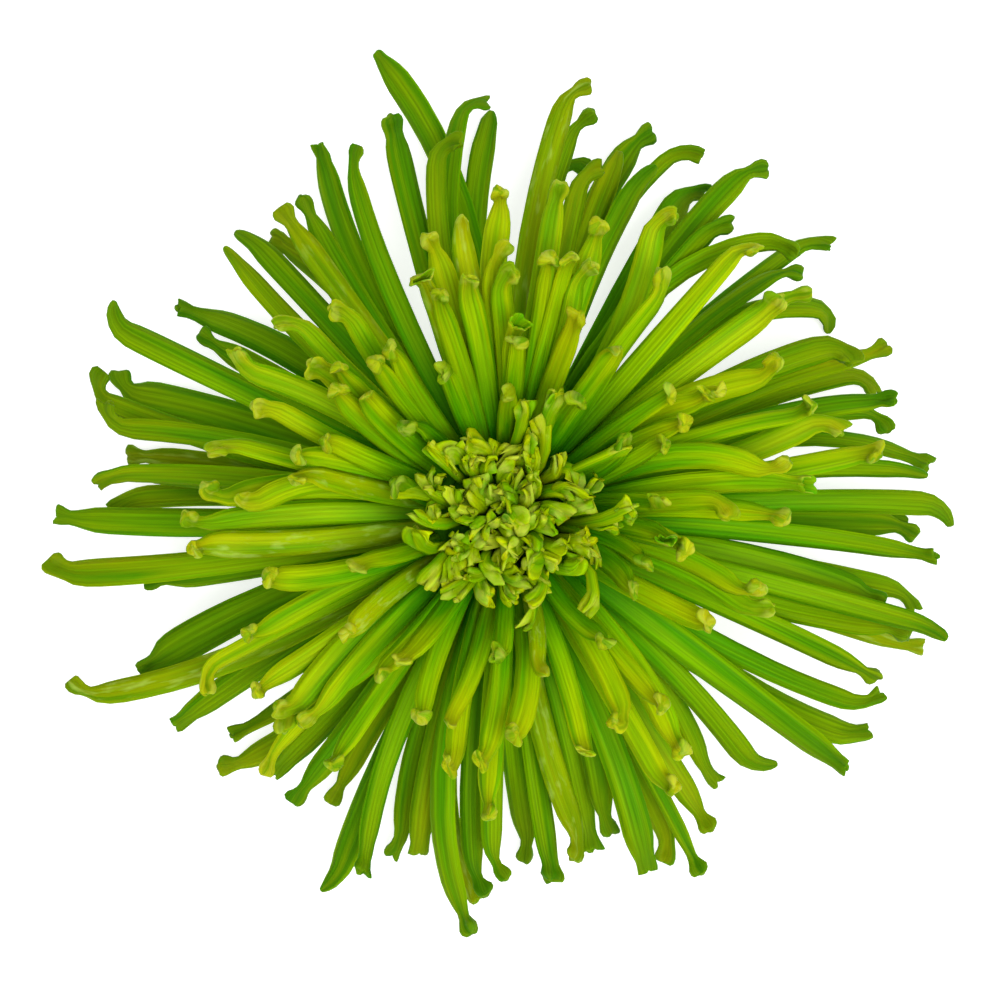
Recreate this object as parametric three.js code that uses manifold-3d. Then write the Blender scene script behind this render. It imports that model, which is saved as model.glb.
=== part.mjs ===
// The head of a green spider chrysanthemum, cut just under its bracts and lying face up on a surface.
// Millimetres, +Z up. The origin is on that surface, under the middle of the head's outline.
//
// The head is a stack along its own axis: the cut stalk, the cup of bracts, the lower receptacle with
// the long outer ray florets, the upper receptacle with the shorter and steeper inner ones, and the
// crown with the centre florets. A ray floret is a tube that leaves the receptacle narrow, widens, and
// ends in a blunt hook. Heights are above the surface, and radii and bearings go by the axis.

import * as THREE from "three";
import { mergeVertices } from "three/addons/utils/BufferGeometryUtils.js";
import Module from "manifold-3d";

const wasm = await Module();
wasm.setup();

// ---------------------------------------------------------------- driving dimensions

const GAP = 0.3; // clearance between one piece of the stack and the next
const STALK = { radius: 3.2, rib: 0.3, ribs: 6, top: 5 };
const CUP = { bottom: STALK.top + GAP, top: 12, radius: 10.8 };
const LOWER = { bottom: CUP.top + GAP, top: 17.6, radius: 10.6 };
const UPPER = { bottom: LOWER.top + GAP, top: 24.6, radius: 10.6, topRadius: 9.2 };
const CROWN = { bottom: UPPER.top + GAP, top: 28.2, radius: 8.6 };
const BRACT = { length: 6.4, width: 4.2, thick: 0.7, rows: 3, perRow: 9 };

const RAY_WIDTHS = [1.9, 3.2, 3.9, 2.9, 2.8]; // at the root, on the body, at the neck and at the tip
const RAY_FLAT = 0.66; // thickness of a ray floret over its width
const RAY_SIDES = 5;
const HOOK = 5; // arc length of the hooked end of a ray floret
const SUNK = 2.7; // how far a root starts inside the receptacle
const FLOOR_GAP = 0.05; // least clearance of a floret that comes down to the surface

const CENTRE_COUNT = 48;
const CENTRE_WIDTHS = [1.4, 1.8, 2.6, 3]; // of a centre floret, from its root to its mouth
const CENTRE_FLAT = 0.75;
const CENTRE_SIDES = 4;

// Outer ray florets, each as [x and y of its tip, x and y of a place that it passes, turn of its hook
// in degrees, width]. Places are in millimetres from the axis, a positive turn is anticlockwise as seen
// from above, and the width is a share of RAY_WIDTHS.
const OUTER = [
  [61, -1, 49, 1, 0, 0.9], [67, -1, 55, 2, -60, 0.9], [62, 6, 49, 7, -10, 0.9],
  [64, 7, 52, 11, -10, 0.8], [57, 13, 46, 15, -60, 0.7], [57, 17, 46, 16, 0, 0.9],
  [56, 19, 44, 19, -70, 0.9], [57, 25, 46, 22, 10, 0.9], [51, 23, 39, 22, -70, 1.1],
  [50, 27, 40, 31, -90, 1], [44, 36, 35, 33, -40, 0.8], [43, 38, 30, 37, -50, 0.9],
  [49, 41, 41, 39, -50, 0.8], [39, 52, 32, 49, -40, 1], [33, 43, 24, 35, -30, 0.9],
  [30, 49, 23, 41, -60, 1.4], [29, 54, 20, 51, -60, 0.7], [22, 51, 16, 43, -20, 1],
  [22, 58, 15, 49, -20, 1.1], [17, 54, 13, 44, 0, 0.9], [14, 51, 10, 45, -50, 0.8],
  [12, 53, 6, 47, -90, 0.8], [13, 60, 8, 55, -40, 0.8], [12, 64, 6, 51, -50, 1],
  [-2, 61, -4, 49, 0, 0.9], [-3, 62, -8, 51, -80, 0.9], [-7, 55, -10, 45, -90, 0.8],
  [-20, 70, -12, 58, 0, 1.1], [-17, 59, -13, 42, 0, 1], [-22, 54, -19, 39, -30, 0.9],
  [-28, 56, -23, 40, 0, 1], [-30, 47, -27, 40, 0, 0.9], [-33, 45, -28, 38, 0, 0.9],
  [-35, 42, -25, 34, 0, 1], [-40, 42, -31, 34, 20, 1], [-41, 39, -33, 30, 0, 1],
  [-49, 31, -34, 25, 0, 1.1], [-45, 27, -37, 22, -10, 0.9], [-58, 31, -50, 24, -70, 1.1],
  [-59, 21, -46, 16, -60, 1.3], [-61, 21, -52, 14, -90, 0.9], [-59, 16, -47, 12, -80, 0.9],
  [-57, 9, -46, 8, 0, 0.8], [-55, 6, -43, 5, 0, 0.9], [-60, 5, -47, 6, 25, 0.9],
  [-59, 1, -45, 3, 30, 0.9], [-67, 0, -53, -1, -10, 1.1], [-67, -7, -53, -8, -40, 1.1],
  [-54, -10, -41, -8, 0, 1], [-54, -23, -38, -14, 0, 1.4], [-64, -25, -49, -24, -50, 1],
  [-45, -24, -34, -18, 0, 1], [-49, -31, -39, -24, 0, 1], [-40, -32, -31, -27, -10, 0.8],
  [-43, -38, -31, -32, -20, 1], [-34, -38, -25, -29, 0, 1], [-31, -42, -24, -33, 0, 1],
  [-26, -43, -20, -32, 0, 0.9], [-27, -56, -20, -41, -30, 1], [-21, -52, -18, -38, 0, 0.9],
  [-17, -51, -14, -38, -30, 0.8], [-13, -50, -11, -37, 0, 1], [-5, -61, -9, -44, 10, 1],
  [-4, -58, -8, -46, 10, 0.9], [-3, -56, -5, -43, 30, 0.9], [0, -53, -2, -41, 40, 0.9],
  [3, -52, 2, -40, -20, 1.1], [7, -54, 5, -41, 0, 0.9], [9, -50, 8, -40, -40, 1],
  [13, -50, 11, -40, 0, 0.9], [16, -47, 13, -35, 20, 1], [21, -52, 18, -41, 0, 1.2],
  [24, -52, 22, -43, -40, 0.9], [29, -53, 24, -43, 0, 0.6], [30, -46, 25, -38, 0, 1],
  [32, -40, 27, -31, 20, 0.8], [40, -37, 31, -30, 60, 1], [50, -37, 38, -28, 0, 1.2],
  [55, -33, 45, -31, 30, 1.2], [56, -27, 44, -25, 50, 0.9], [55, -24, 45, -19, 0, 1],
  [63, -20, 52, -17, 10, 0.7], [60, -18, 47, -15, -20, 1.1], [65, -18, 54, -14, -20, 0.9],
  [62, -14, 54, -10, -50, 0.9], [56, -13, 44, -9, 0, 1.3], [63, -6, 52, -4, 0, 0.9],
  [62, -3, 50, -1, -30, 1],
];
// Outer florets leave the receptacle at three heights in turn, with a slope there and at the tip.
const TIERS = [
  { z: 14.1, from: -3, to: -22 },
  { z: 15.3, from: 1, to: -16 },
  { z: 16.5, from: 4, to: -11 },
];
// Inner ray florets, as [x and y of the tip, x and y of a place that it passes]. The shorter ones leave
// higher up and stand steeper.
const INNER = [
  [31, 0, 23, 2], [39, 7, 28, 8], [43, 4, 34, 5], [54, 9, 42, 7], [48, 12, 37, 10], [39, -1, 31, 1],
  [25, 13, 20, 11], [23, 17, 17, 13], [28, 17, 21, 14], [30, 17, 24, 15], [43, 16, 34, 13],
  [22, 10, 14, 6], [21, 1, 14, 2], [22, -4, 15, -1], [25, -5, 17, -2], [19, -7, 13, -3],
  [17, -11, 12, -5], [35, -10, 27, -7], [37, -12, 28, -9], [28, -14, 20, -11], [17, 0, 11, 1],
  [14, -17, 8, -12], [22, -26, 16, -20], [25, -33, 20, -24], [24, -38, 18, -30], [11, -33, 8, -21],
  [15, -29, 12, -18], [5, -22, 4, -14], [-1, -19, 0, -11], [-11, -28, -9, -18], [-8, -29, -4, -20],
  [0, -30, 3, -21], [-4, -34, -1, -25], [-8, -35, -6, -25], [-2, -42, -2, -33], [-15, -20, -9, -14],
  [-17, -22, -12, -16], [-22, -16, -15, -10], [-24, -35, -17, -24], [-31, -30, -23, -23],
  [-29, -28, -22, -22], [-35, -25, -25, -18], [-32, -27, -24, -20], [-34, -37, -28, -28],
  [-43, -25, -34, -17], [-36, -16, -27, -12], [-33, -8, -24, -8], [-21, -7, -14, -5], [-37, 2, -28, 4],
  [-44, -5, -34, -4], [-29, 8, -21, 7], [-29, 5, -20, 4], [-25, 10, -17, 7], [-41, 9, -30, 8],
  [-42, 4, -31, 4], [-45, 0, -34, 0], [-35, 15, -25, 11], [-23, 18, -17, 11], [-19, 17, -13, 10],
  [-15, 5, -9, 2], [-38, 23, -25, 16], [-24, 29, -16, 19], [-32, 27, -22, 20], [-27, 21, -18, 14],
  [-23, 21, -16, 13], [-18, 21, -11, 12], [-16, 23, -11, 15], [-8, 20, -5, 12], [-12, 33, -7, 21],
  [-11, 39, -6, 24], [-6, 42, -4, 27], [-1, 46, -2, 28], [0, 38, -1, 25], [1, 34, 0, 24],
  [-5, 33, -3, 21], [-9, 31, -6, 20], [2, 27, 1, 17], [2, 24, 1, 14], [1, 17, 0, 9], [6, 36, 4, 21],
  [9, 36, 5, 20], [12, 35, 7, 20], [10, 28, 6, 17], [13, 41, 9, 27], [8, 47, 5, 31], [15, 23, 9, 14],
  [22, 34, 12, 18], [24, 43, 17, 27], [36, 38, 22, 25], [44, 32, 35, 28], [39, 31, 25, 20],
  [38, 22, 27, 17], [10, 16, 5, 9], [16, 11, 12, 6], [-14, 12, -8, 9],
];
const INNER_REACH = { longest: 54, shortest: 15.5 };
const SIMPLER = 0.08; // points of a fused solid closer than this to its form are left out
const MOST_SWING = 16; // furthest that a ray floret swings aside
const LEAST_BODY = 6; // shortest length of a ray floret up to its hook
const LATEST_WAY = 0.85; // a place on the way counts as no nearer to the neck than this share
const SWING_SLACK = 0.9; // a swing w over a length l makes the floret longer by this times w * w / l
const COURSE_ROUNDS = 5;

// ---------------------------------------------------------------- small helpers

const rad = THREE.MathUtils.degToRad;
const mix = THREE.MathUtils.lerp;
const clamp = THREE.MathUtils.clamp;
const GOLDEN = rad(137.508); // turn from one floret to the next on the spiral

// A repeatable draw between 0 and 1 for floret i, one for each use k.
function draw(i, k) {
  const x = Math.sin(i * 12.9898 + k * 78.233) * 43758.5453;
  return x - Math.floor(x);
}
const spread = (i, k, half) => (2 * draw(i, k) - 1) * half;

// A closed three.js geometry as a manifold-3d solid.
function solid(geometry) {
  const g = geometry.clone();
  g.deleteAttribute("normal");
  g.deleteAttribute("uv");
  const merged = mergeVertices(g, 1e-4);
  return new wasm.Manifold(
    new wasm.Mesh({
      numProp: 3,
      vertProperties: new Float32Array(merged.attributes.position.array),
      triVerts: new Uint32Array(merged.index.array),
    }),
  );
}

// The named mesh of several closed geometries fused into one body. Where they cross, they can close off
// a small hollow between them. Its shell has a negative volume and is left out.
function fused(name, geometries, material) {
  const add = (a, b) => a.add(b);
  const joined = geometries.map(solid).reduce(add).simplify(SIMPLER);
  const shells = joined.decompose().filter((shell) => shell.volume() > 0);
  const { vertProperties, triVerts } = shells.reduce(add).getMesh();
  const geometry = new THREE.BufferGeometry()
    .setAttribute("position", new THREE.BufferAttribute(vertProperties, 3))
    .setIndex(new THREE.BufferAttribute(triVerts, 1));
  geometry.computeVertexNormals();
  return named(name, geometry, material);
}

function named(name, geometry, material) {
  const mesh = new THREE.Mesh(geometry, material);
  mesh.name = name;
  return mesh;
}

// A solid of revolution about +Z from [radius, height] points that start and end on the axis.
function turned(points, segments) {
  const profile = points.map(([r, z]) => new THREE.Vector2(r, z));
  return new THREE.LatheGeometry(profile, segments).rotateX(Math.PI / 2);
}

// ---------------------------------------------------------------- a tube that follows its own path

// Walks a path whose heading and slope are functions of the arc length s, and returns the places at
// the given arc lengths, each with the axes "side" (level) and "up" of the tube's cross-section.
function walk(start, length, heading, slope, stops) {
  const STEPS = 40;
  const at = start.clone();
  const places = [];
  for (let i = 0; i <= STEPS; i++) {
    const s = (length * i) / STEPS;
    const [h, e] = [heading(s), slope(s)];
    const along = new THREE.Vector3(Math.cos(e) * Math.cos(h), Math.cos(e) * Math.sin(h), Math.sin(e));
    while (places.length < stops.length && stops[places.length] <= s + 1e-6) {
      const back = stops[places.length] - s;
      const side = new THREE.Vector3(-Math.sin(h), Math.cos(h), 0);
      const up = along.clone().cross(side);
      places.push({ centre: at.clone().addScaledVector(along, back), side, up });
    }
    at.addScaledVector(along, length / STEPS);
  }
  return places;
}

// A closed cylinder bent along those places, with its width at each and turned about its own axis.
function tube(places, widths, flat, sides, turn) {
  const last = places.length - 1;
  const form = new THREE.CylinderGeometry(1, 1, 1, sides, last);
  const p = form.attributes.position;
  const v = new THREE.Vector3();
  for (let i = 0; i < p.count; i++) {
    const k = Math.round((p.getY(i) + 0.5) * last);
    const across = p.getX(i) * Math.cos(turn) - p.getZ(i) * Math.sin(turn);
    const off = p.getX(i) * Math.sin(turn) + p.getZ(i) * Math.cos(turn);
    const { centre, side, up } = places[k];
    v.copy(centre);
    v.addScaledVector(side, (across * widths[k]) / 2);
    v.addScaledVector(up, (-off * widths[k] * flat) / 2);
    p.setXYZ(i, v.x, v.y, v.z);
  }
  return form;
}

// ---------------------------------------------------------------- ray florets

// The mean cosine and the mean sine of an angle that turns evenly from a to b.
function meanCos(a, b) {
  return a === b ? Math.cos(a) : (Math.sin(b) - Math.sin(a)) / (b - a);
}
function meanSin(a, b) {
  return a === b ? Math.sin(a) : (Math.cos(a) - Math.cos(b)) / (b - a);
}

// The course of a floret as seen from above: its first heading, the length of its body up to the neck,
// where the hook starts, and how far it swings aside on the way, so that it passes f.way and its hook
// ends at f.tip. The hook goes on from the heading at the neck, which the swing changes, so the neck is
// found in a few rounds.
function course(f) {
  const run = HOOK * meanCos(f.to, f.to + f.lift);
  const hook = new THREE.Vector2(run * meanCos(0, f.aside), run * meanSin(0, f.aside));
  const neck = new THREE.Vector2();
  let [ahead, first, swing, body] = [f.tip.clone().sub(f.way).angle(), 0, 0, 0];
  for (let round = 0; round < COURSE_ROUNDS; round++) {
    neck.copy(f.tip).sub(hook.clone().rotateAround(new THREE.Vector2(), ahead));
    const reach = neck.length();
    const turn = Math.atan2(f.way.cross(neck), f.way.dot(neck));
    const passed = Math.min((f.way.length() - f.r) / (reach - f.r), LATEST_WAY);
    swing = clamp(turn / (1 / reach - passed ** 3 / f.way.length()), -MOST_SWING, MOST_SWING);
    first = neck.angle() - swing / reach;
    const straight = Math.sqrt(reach ** 2 - swing ** 2) - f.r;
    const level = straight + (SWING_SLACK * swing ** 2) / straight;
    body = Math.max(level / Math.cos((f.from + f.to) / 2), LEAST_BODY);
    ahead = first + (3 * swing) / body;
  }
  return { first, swing, body };
}

// f holds the tip and the place on the way as vectors, the root's radius and height, the slopes "from"
// the root "to" the neck, the hook's "lift" and turn "aside", and the size of the cross-section.
function rayFloret(f) {
  const { first, swing, body } = course(f);
  const length = body + HOOK;
  const part = (s) => Math.min(s / body, 1);
  const hooked = (s) => Math.max((s - body) / HOOK, 0);
  const heading = (s) => first + ((3 * swing) / body) * part(s) ** 2 + f.aside * hooked(s);
  const slope = (s) => mix(f.from, f.to, part(s)) + f.lift * hooked(s);
  const start = new THREE.Vector3(f.r * Math.cos(first), f.r * Math.sin(first), f.z);
  const stops = [0, 0.45 * body, 0.8 * body, body + 0.1 * HOOK, length];
  const places = walk(start, length, heading, slope, stops);
  const widths = RAY_WIDTHS.map((w) => w * f.size);
  places.forEach(({ centre }, k) => {
    centre.z = Math.max(centre.z, widths[k] / 2 + FLOOR_GAP);
  });
  return tube(places, widths, RAY_FLAT, RAY_SIDES, 0);
}

function outerFlorets() {
  return OUTER.map(([tipX, tipY, wayX, wayY, turn, width], i) => {
    const tier = TIERS[i % TIERS.length];
    return rayFloret({
      tip: new THREE.Vector2(tipX, tipY),
      way: new THREE.Vector2(wayX, wayY),
      r: LOWER.radius - SUNK,
      z: tier.z,
      from: rad(tier.from + spread(i, 1, 1)),
      to: rad(tier.to + spread(i, 2, 2)),
      lift: rad(mix(-15, 50, draw(i, 3))),
      aside: rad(turn),
      size: width * mix(0.95, 1.05, draw(i, 6)),
    });
  });
}

function innerFlorets() {
  return INNER.map(([tipX, tipY, wayX, wayY], i) => {
    // 0 on the longest of them, 1 on the shortest, nearest the crown
    const { longest, shortest } = INNER_REACH;
    const u = clamp((longest - Math.hypot(tipX, tipY)) / (longest - shortest), 0, 1);
    return rayFloret({
      tip: new THREE.Vector2(tipX, tipY),
      way: new THREE.Vector2(wayX, wayY),
      r: mix(UPPER.radius, UPPER.topRadius + 0.8, u * u) - SUNK,
      z: mix(19, 22.8, u),
      from: rad(mix(7, 32, u)),
      to: rad(mix(-5, 62, u) + spread(i, 4, 2)),
      lift: rad(mix(-10, 75, draw(i, 5))),
      aside: rad(Math.sign(draw(i, 8) - 0.5) * mix(20, 110, draw(i, 6))),
      size: mix(0.86, 1.04, draw(i, 7)) * mix(1, 0.8, u * u),
    });
  });
}

// ---------------------------------------------------------------- centre florets

function centreFloret(i) {
  const u = (i + 0.5) / CENTRE_COUNT; // 0 at the middle of the crown, 1 at its edge
  const bearing = i * GOLDEN + rad(spread(i, 11, 10));
  const oval = 1 + 0.16 * Math.cos(2 * bearing) - 0.08 * Math.sin(bearing);
  const length = mix(5, 6.6, draw(i, 12)) * mix(1, 1.3, u) * oval;
  const r = (CROWN.radius - 1.2) * Math.sqrt(u);
  const z = mix(CROWN.top - 1.6, CROWN.bottom + 1.2, u * u);
  const start = new THREE.Vector3(r * Math.cos(bearing), r * Math.sin(bearing), z);
  const steep = rad(mix(84, 38, u) + spread(i, 13, 6));
  const turnBy = rad(spread(i, 14, 60));
  const heading = (s) => bearing + turnBy * (s / length);
  const slope = (s) => steep + rad(14) * (s / length);
  const places = walk(start, length, heading, slope, [0, 0.4 * length, 0.75 * length, length]);
  return tube(places, CENTRE_WIDTHS, CENTRE_FLAT, CENTRE_SIDES, rad(spread(i, 15, 45)));
}

function centreFlorets() {
  return Array.from({ length: CENTRE_COUNT }, (_, i) => centreFloret(i));
}

// ---------------------------------------------------------------- bracts and stalk

// A thin pointed scale, with its foot at the origin, its length on +Z and its back on +X.
function bractBlade() {
  const { length, width, thick } = BRACT;
  const outline = new THREE.Shape();
  outline.moveTo(-width * 0.32, 0);
  outline.lineTo(width * 0.32, 0);
  outline.lineTo(width * 0.5, length * 0.5);
  outline.lineTo(0, length);
  outline.lineTo(-width * 0.5, length * 0.5);
  outline.closePath();
  const blade = new THREE.ExtrudeGeometry(outline, { depth: thick, bevelEnabled: false, steps: 1 });
  return blade.translate(0, 0, -thick / 2).rotateX(Math.PI / 2).rotateZ(Math.PI / 2);
}

// Rows of scales, each row higher, wider and more upright than the last, and set between its scales.
function bracts() {
  const made = [];
  for (let row = 0; row < BRACT.rows; row++) {
    const share = row / (BRACT.rows - 1);
    const lean = rad(mix(58, 26, share));
    for (let k = 0; k < BRACT.perRow; k++) {
      const blade = bractBlade().rotateY(lean).translate(mix(3.9, 8.7, share), 0, mix(5.9, 6.9, share));
      made.push(blade.rotateZ(((k + row / 2) * 2 * Math.PI) / BRACT.perRow));
    }
  }
  return made;
}

function stalkGeometry() {
  const { radius, rib, ribs, top } = STALK;
  const outline = Array.from({ length: 4 * ribs }, (_, k) => {
    const a = (k * Math.PI) / (2 * ribs);
    const r = radius + rib * Math.cos(ribs * a);
    return new THREE.Vector2(r * Math.cos(a), r * Math.sin(a));
  });
  return new THREE.ExtrudeGeometry(new THREE.Shape(outline), { depth: top, bevelEnabled: false, steps: 1 });
}

// ---------------------------------------------------------------- the flower head

const paint = (color, roughness) => new THREE.MeshStandardMaterial({ color, roughness, metalness: 0 });

const cup = turned(
  [[0, CUP.bottom], [3.6, CUP.bottom], [7.4, 6.4], [CUP.radius - 0.6, 8.6], [CUP.radius, CUP.top], [0, CUP.top]],
  22,
);
const lowerReceptacle = turned(
  [[0, LOWER.bottom], [LOWER.radius - 0.4, LOWER.bottom], [LOWER.radius, LOWER.top], [0, LOWER.top]],
  22,
);
const upperReceptacle = turned(
  [
    [0, UPPER.bottom], [UPPER.radius, UPPER.bottom], [UPPER.radius - 0.4, 20.8],
    [UPPER.topRadius + 0.8, 23.4], [UPPER.topRadius, UPPER.top], [0, UPPER.top],
  ],
  22,
);
const crown = turned(
  [
    [0, CROWN.bottom], [CROWN.radius, CROWN.bottom], [CROWN.radius * 0.86, 26.6],
    [CROWN.radius * 0.5, 27.9], [0, CROWN.top],
  ],
  18,
);

const head = new THREE.Group();
head.add(
  named("cut_stalk", stalkGeometry(), paint(0x7c9a3c, 0.6)),
  fused("bracts", [cup, ...bracts()], paint(0x4f7a1e, 0.65)),
  fused("outer_ray_florets", [lowerReceptacle, ...outerFlorets()], paint(0x5f9a0c, 0.5)),
  fused("inner_ray_florets", [upperReceptacle, ...innerFlorets()], paint(0x86ad12, 0.5)),
  fused("centre_florets", [crown, ...centreFlorets()], paint(0xa6c422, 0.55)),
);

// The origin goes under the middle of the outline. The stalk's cut end is on the surface already.
const middle = new THREE.Box3().setFromObject(head).getCenter(new THREE.Vector3());
head.position.set(-middle.x, -middle.y, 0);

export default head;
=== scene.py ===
# %% [markdown]
# # The head of a green spider chrysanthemum
#
# A spider chrysanthemum is one flower head made of some two hundred small flowers, the florets. The
# long ones round the rim are tubes that end in a hook. Towards the middle they get shorter and stand
# steeper, and the middle itself is a tuft of small ruffled trumpets. The head here was cut just under
# its green bracts, and it lies face up on a table.
#
# The solids of the part are loaded first. They hold every size, and each piece modelled here takes the
# place of one of them and keeps its form.

# %% Open the solids
import cmath
import math

import bmesh
import bpy
import numpy as np
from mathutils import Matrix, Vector


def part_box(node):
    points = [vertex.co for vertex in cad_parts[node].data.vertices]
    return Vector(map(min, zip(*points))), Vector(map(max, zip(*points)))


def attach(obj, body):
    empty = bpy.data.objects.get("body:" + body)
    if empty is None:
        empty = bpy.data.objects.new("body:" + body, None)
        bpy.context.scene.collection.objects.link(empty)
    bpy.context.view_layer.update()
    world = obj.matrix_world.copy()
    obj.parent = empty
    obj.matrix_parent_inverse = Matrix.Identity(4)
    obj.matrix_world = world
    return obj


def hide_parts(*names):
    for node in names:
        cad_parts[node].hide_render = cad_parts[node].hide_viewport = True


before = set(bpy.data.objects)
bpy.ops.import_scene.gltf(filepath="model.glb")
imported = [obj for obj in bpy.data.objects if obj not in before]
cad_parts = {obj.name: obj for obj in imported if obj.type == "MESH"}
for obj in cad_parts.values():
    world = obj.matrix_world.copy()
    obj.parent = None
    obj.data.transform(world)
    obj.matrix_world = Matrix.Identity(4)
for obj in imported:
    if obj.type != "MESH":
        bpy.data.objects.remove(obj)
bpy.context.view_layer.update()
bpy.ops.object.select_all(action="DESELECT")
print("nodes:", sorted(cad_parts))

# %% [markdown]
# ## Where the pieces go
#
# Everything in a flower head is set round its own axis. The cut stalk stands on that axis, so the
# middle of its box gives the axis. Sizes are written in millimetres and turned into metres by one
# factor, because a floret is easier to picture as 3 mm wide than as 0.003.

# %% The axis and the unit
MM = 0.001
STALK_LOW, STALK_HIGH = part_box("cut_stalk")
AXIS = (STALK_LOW + STALK_HIGH) / 2
AXIS.z = 0
print(f"the head's axis stands at {AXIS.x / MM:.2f}, {AXIS.y / MM:.2f} mm")

# %% [markdown]
# ## Draws that come out the same each time
#
# No two florets are alike, so each takes its slope, turn and size from a draw. The draws come from a
# formula on the floret's number and not from a random generator, so that the flower is the same each
# time the script runs. The solids take theirs from the same formula.

# %% Draws


def mix(a, b, share):
    """The value that lies that share of the way from a to b."""
    return a + (b - a) * share


def draw(i, use):
    """A repeatable draw between 0 and 1 for floret i, one for each use."""
    x = math.sin(i * 12.9898 + use * 78.233) * 43758.5453
    return x - math.floor(x)


def spread(i, use, half):
    """A repeatable draw between -half and half."""
    return (2 * draw(i, use) - 1) * half


# %% [markdown]
# ## Helpers for modelling by hand
#
# The straight florets are modelled in edit mode, ring by ring. A ring is extruded along X and then
# made wider or narrower, and single points are picked by where they are. These few helpers do that.
#
# Each point of the first ring is told whether it lies on a rib, and in which direction round the tube.
# Extruding copies both to every later ring, so the finish can follow the ribs however the tube bends.

# %% Helpers for edit mode
TOUCHING = 0.001 * MM  # places nearer than this count as the same


def select_where(test):
    """In edit mode, selects the points whose place passes the test, and no others."""
    shape = bmesh.from_edit_mesh(bpy.context.object.data)
    for point in shape.verts:
        point.select_set(bool(test(point.co)))
    shape.select_flush_mode()
    bmesh.update_edit_mesh(bpy.context.object.data)


def start_ring(name, sides, width, flat, groove=0.0):
    """A ring across X at the origin, in edit mode with all its points selected.

    Every second point is pressed in by the groove's share of the half width."""
    bpy.ops.mesh.primitive_circle_add(vertices=sides, radius=width / 2, rotation=(0, math.pi / 2, 0))
    ring = bpy.context.object
    ring.name = name
    bpy.ops.object.transform_apply(rotation=True)
    rib = ring.data.attributes.new("rib", "FLOAT", "POINT")
    turn = ring.data.attributes.new("round", "FLOAT_VECTOR", "POINT")
    for number, point in enumerate(ring.data.vertices):
        rib.data[number].value = 1 - number % 2
        turn.data[number].vector = point.co / (width / 2)
    bpy.ops.object.mode_set(mode="EDIT")
    bpy.context.tool_settings.mesh_select_mode = (True, False, False)
    shape = bmesh.from_edit_mesh(ring.data)
    for number, point in enumerate(shape.verts):
        point.select_set(number % 2 == 1)
    shape.select_flush_mode()
    bpy.ops.transform.resize(value=(1, 1 - groove, 1 - groove), center_override=(0, 0, 0))
    bpy.ops.mesh.select_all(action="SELECT")
    bpy.ops.transform.resize(value=(1, 1, flat), center_override=(0, 0, 0))
    return ring


def extrude_rings(stations):
    """Extrudes the selected ring from station to station, each (x, width, flat), and closes the end."""
    for (x0, width0, flat0), (x1, width1, flat1) in zip(stations, stations[1:]):
        bpy.ops.mesh.extrude_region_move(TRANSFORM_OT_translate={"value": (x1 - x0, 0, 0)})
        wider = width1 / width0
        scale = (1, wider, wider * flat1 / flat0)
        bpy.ops.transform.resize(value=scale, center_override=(x1, 0, 0))
    bpy.ops.mesh.merge(type="CENTER")
    select_where(lambda place: abs(place.x - stations[0][0]) < TOUCHING)
    bpy.ops.mesh.edge_face_add()


def leave_edit_mode():
    """Turns all faces outwards and goes back to object mode."""
    bpy.ops.mesh.select_all(action="SELECT")
    bpy.ops.mesh.normals_make_consistent(inside=False)
    bpy.ops.object.mode_set(mode="OBJECT")


def join(name, parts):
    """One smooth object out of several."""
    bpy.ops.object.select_all(action="DESELECT")
    for part in parts:
        part.select_set(True)
    bpy.context.view_layer.objects.active = parts[0]
    bpy.ops.object.join()
    piece = bpy.context.object
    piece.name = name
    piece.data.name = name
    bpy.ops.object.shade_smooth()
    bpy.ops.object.select_all(action="DESELECT")
    print(f"{name}: {len(piece.data.vertices)} points, {len(piece.data.polygons)} faces")
    return piece


# %% [markdown]
# ## The finishes by name
#
# The finishes get their nodes further down. They are named here, because the faces inside a mouth are
# given to another finish than the skin while the floret is still a single straight one.

# %% Name the finishes
# painted shade: the rim florets' finish is a darker copy of the inner petal finish
rim_skin_shaded = bpy.data.materials.new("ribbed_rim_petal_shaded")
petal_skin = bpy.data.materials.new("ribbed_inner_petal")
petal_throat = bpy.data.materials.new("shaded_petal_throat")
tuft_skin = bpy.data.materials.new("thin_tuft_petal")
receptacle_skin = bpy.data.materials.new("waxy_receptacle")
bract_skin = bpy.data.materials.new("leathery_bract")
stalk_skin = bpy.data.materials.new("fibrous_stalk")


def give_finishes(piece, outside, inside=None):
    """Gives a straight floret its finishes: faces that look at its axis are the inside."""
    piece.data.materials.append(outside)
    if inside is None:
        return
    piece.data.materials.append(inside)
    for face in piece.data.polygons:
        looks_in = face.normal.y * face.center.y + face.normal.z * face.center.z < 0
        face.material_index = int(looks_in)


# %% [markdown]
# ## Six kinds of ray floret
#
# A ray floret of this flower is a petal rolled into a tube and pressed nearly flat, like a strap. It is
# narrow at its foot, widens over most of its length, and has fine ribs along it where the veins run.
# It stays wide nearly to its end. The end itself differs from floret to floret: some narrow to a neck
# and flare into a lobed lip that is folded shut, some end in a lumpy knob, a dented mitten or a plain
# rounded finger, some are cut off blunt with a crumpled edge, and a few open like a spoon.
#
# The tube could be a curve with a bevel, but a curve has neither ribs nor a mouth with an inside. So
# one ring of points is extruded from foot to tip by its widths, with every second point pressed in as
# the groove between two ribs. Where the end has a lip, the last rings turn back into the tube, which
# gives the wall its thickness and the opening its dark inside.

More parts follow.
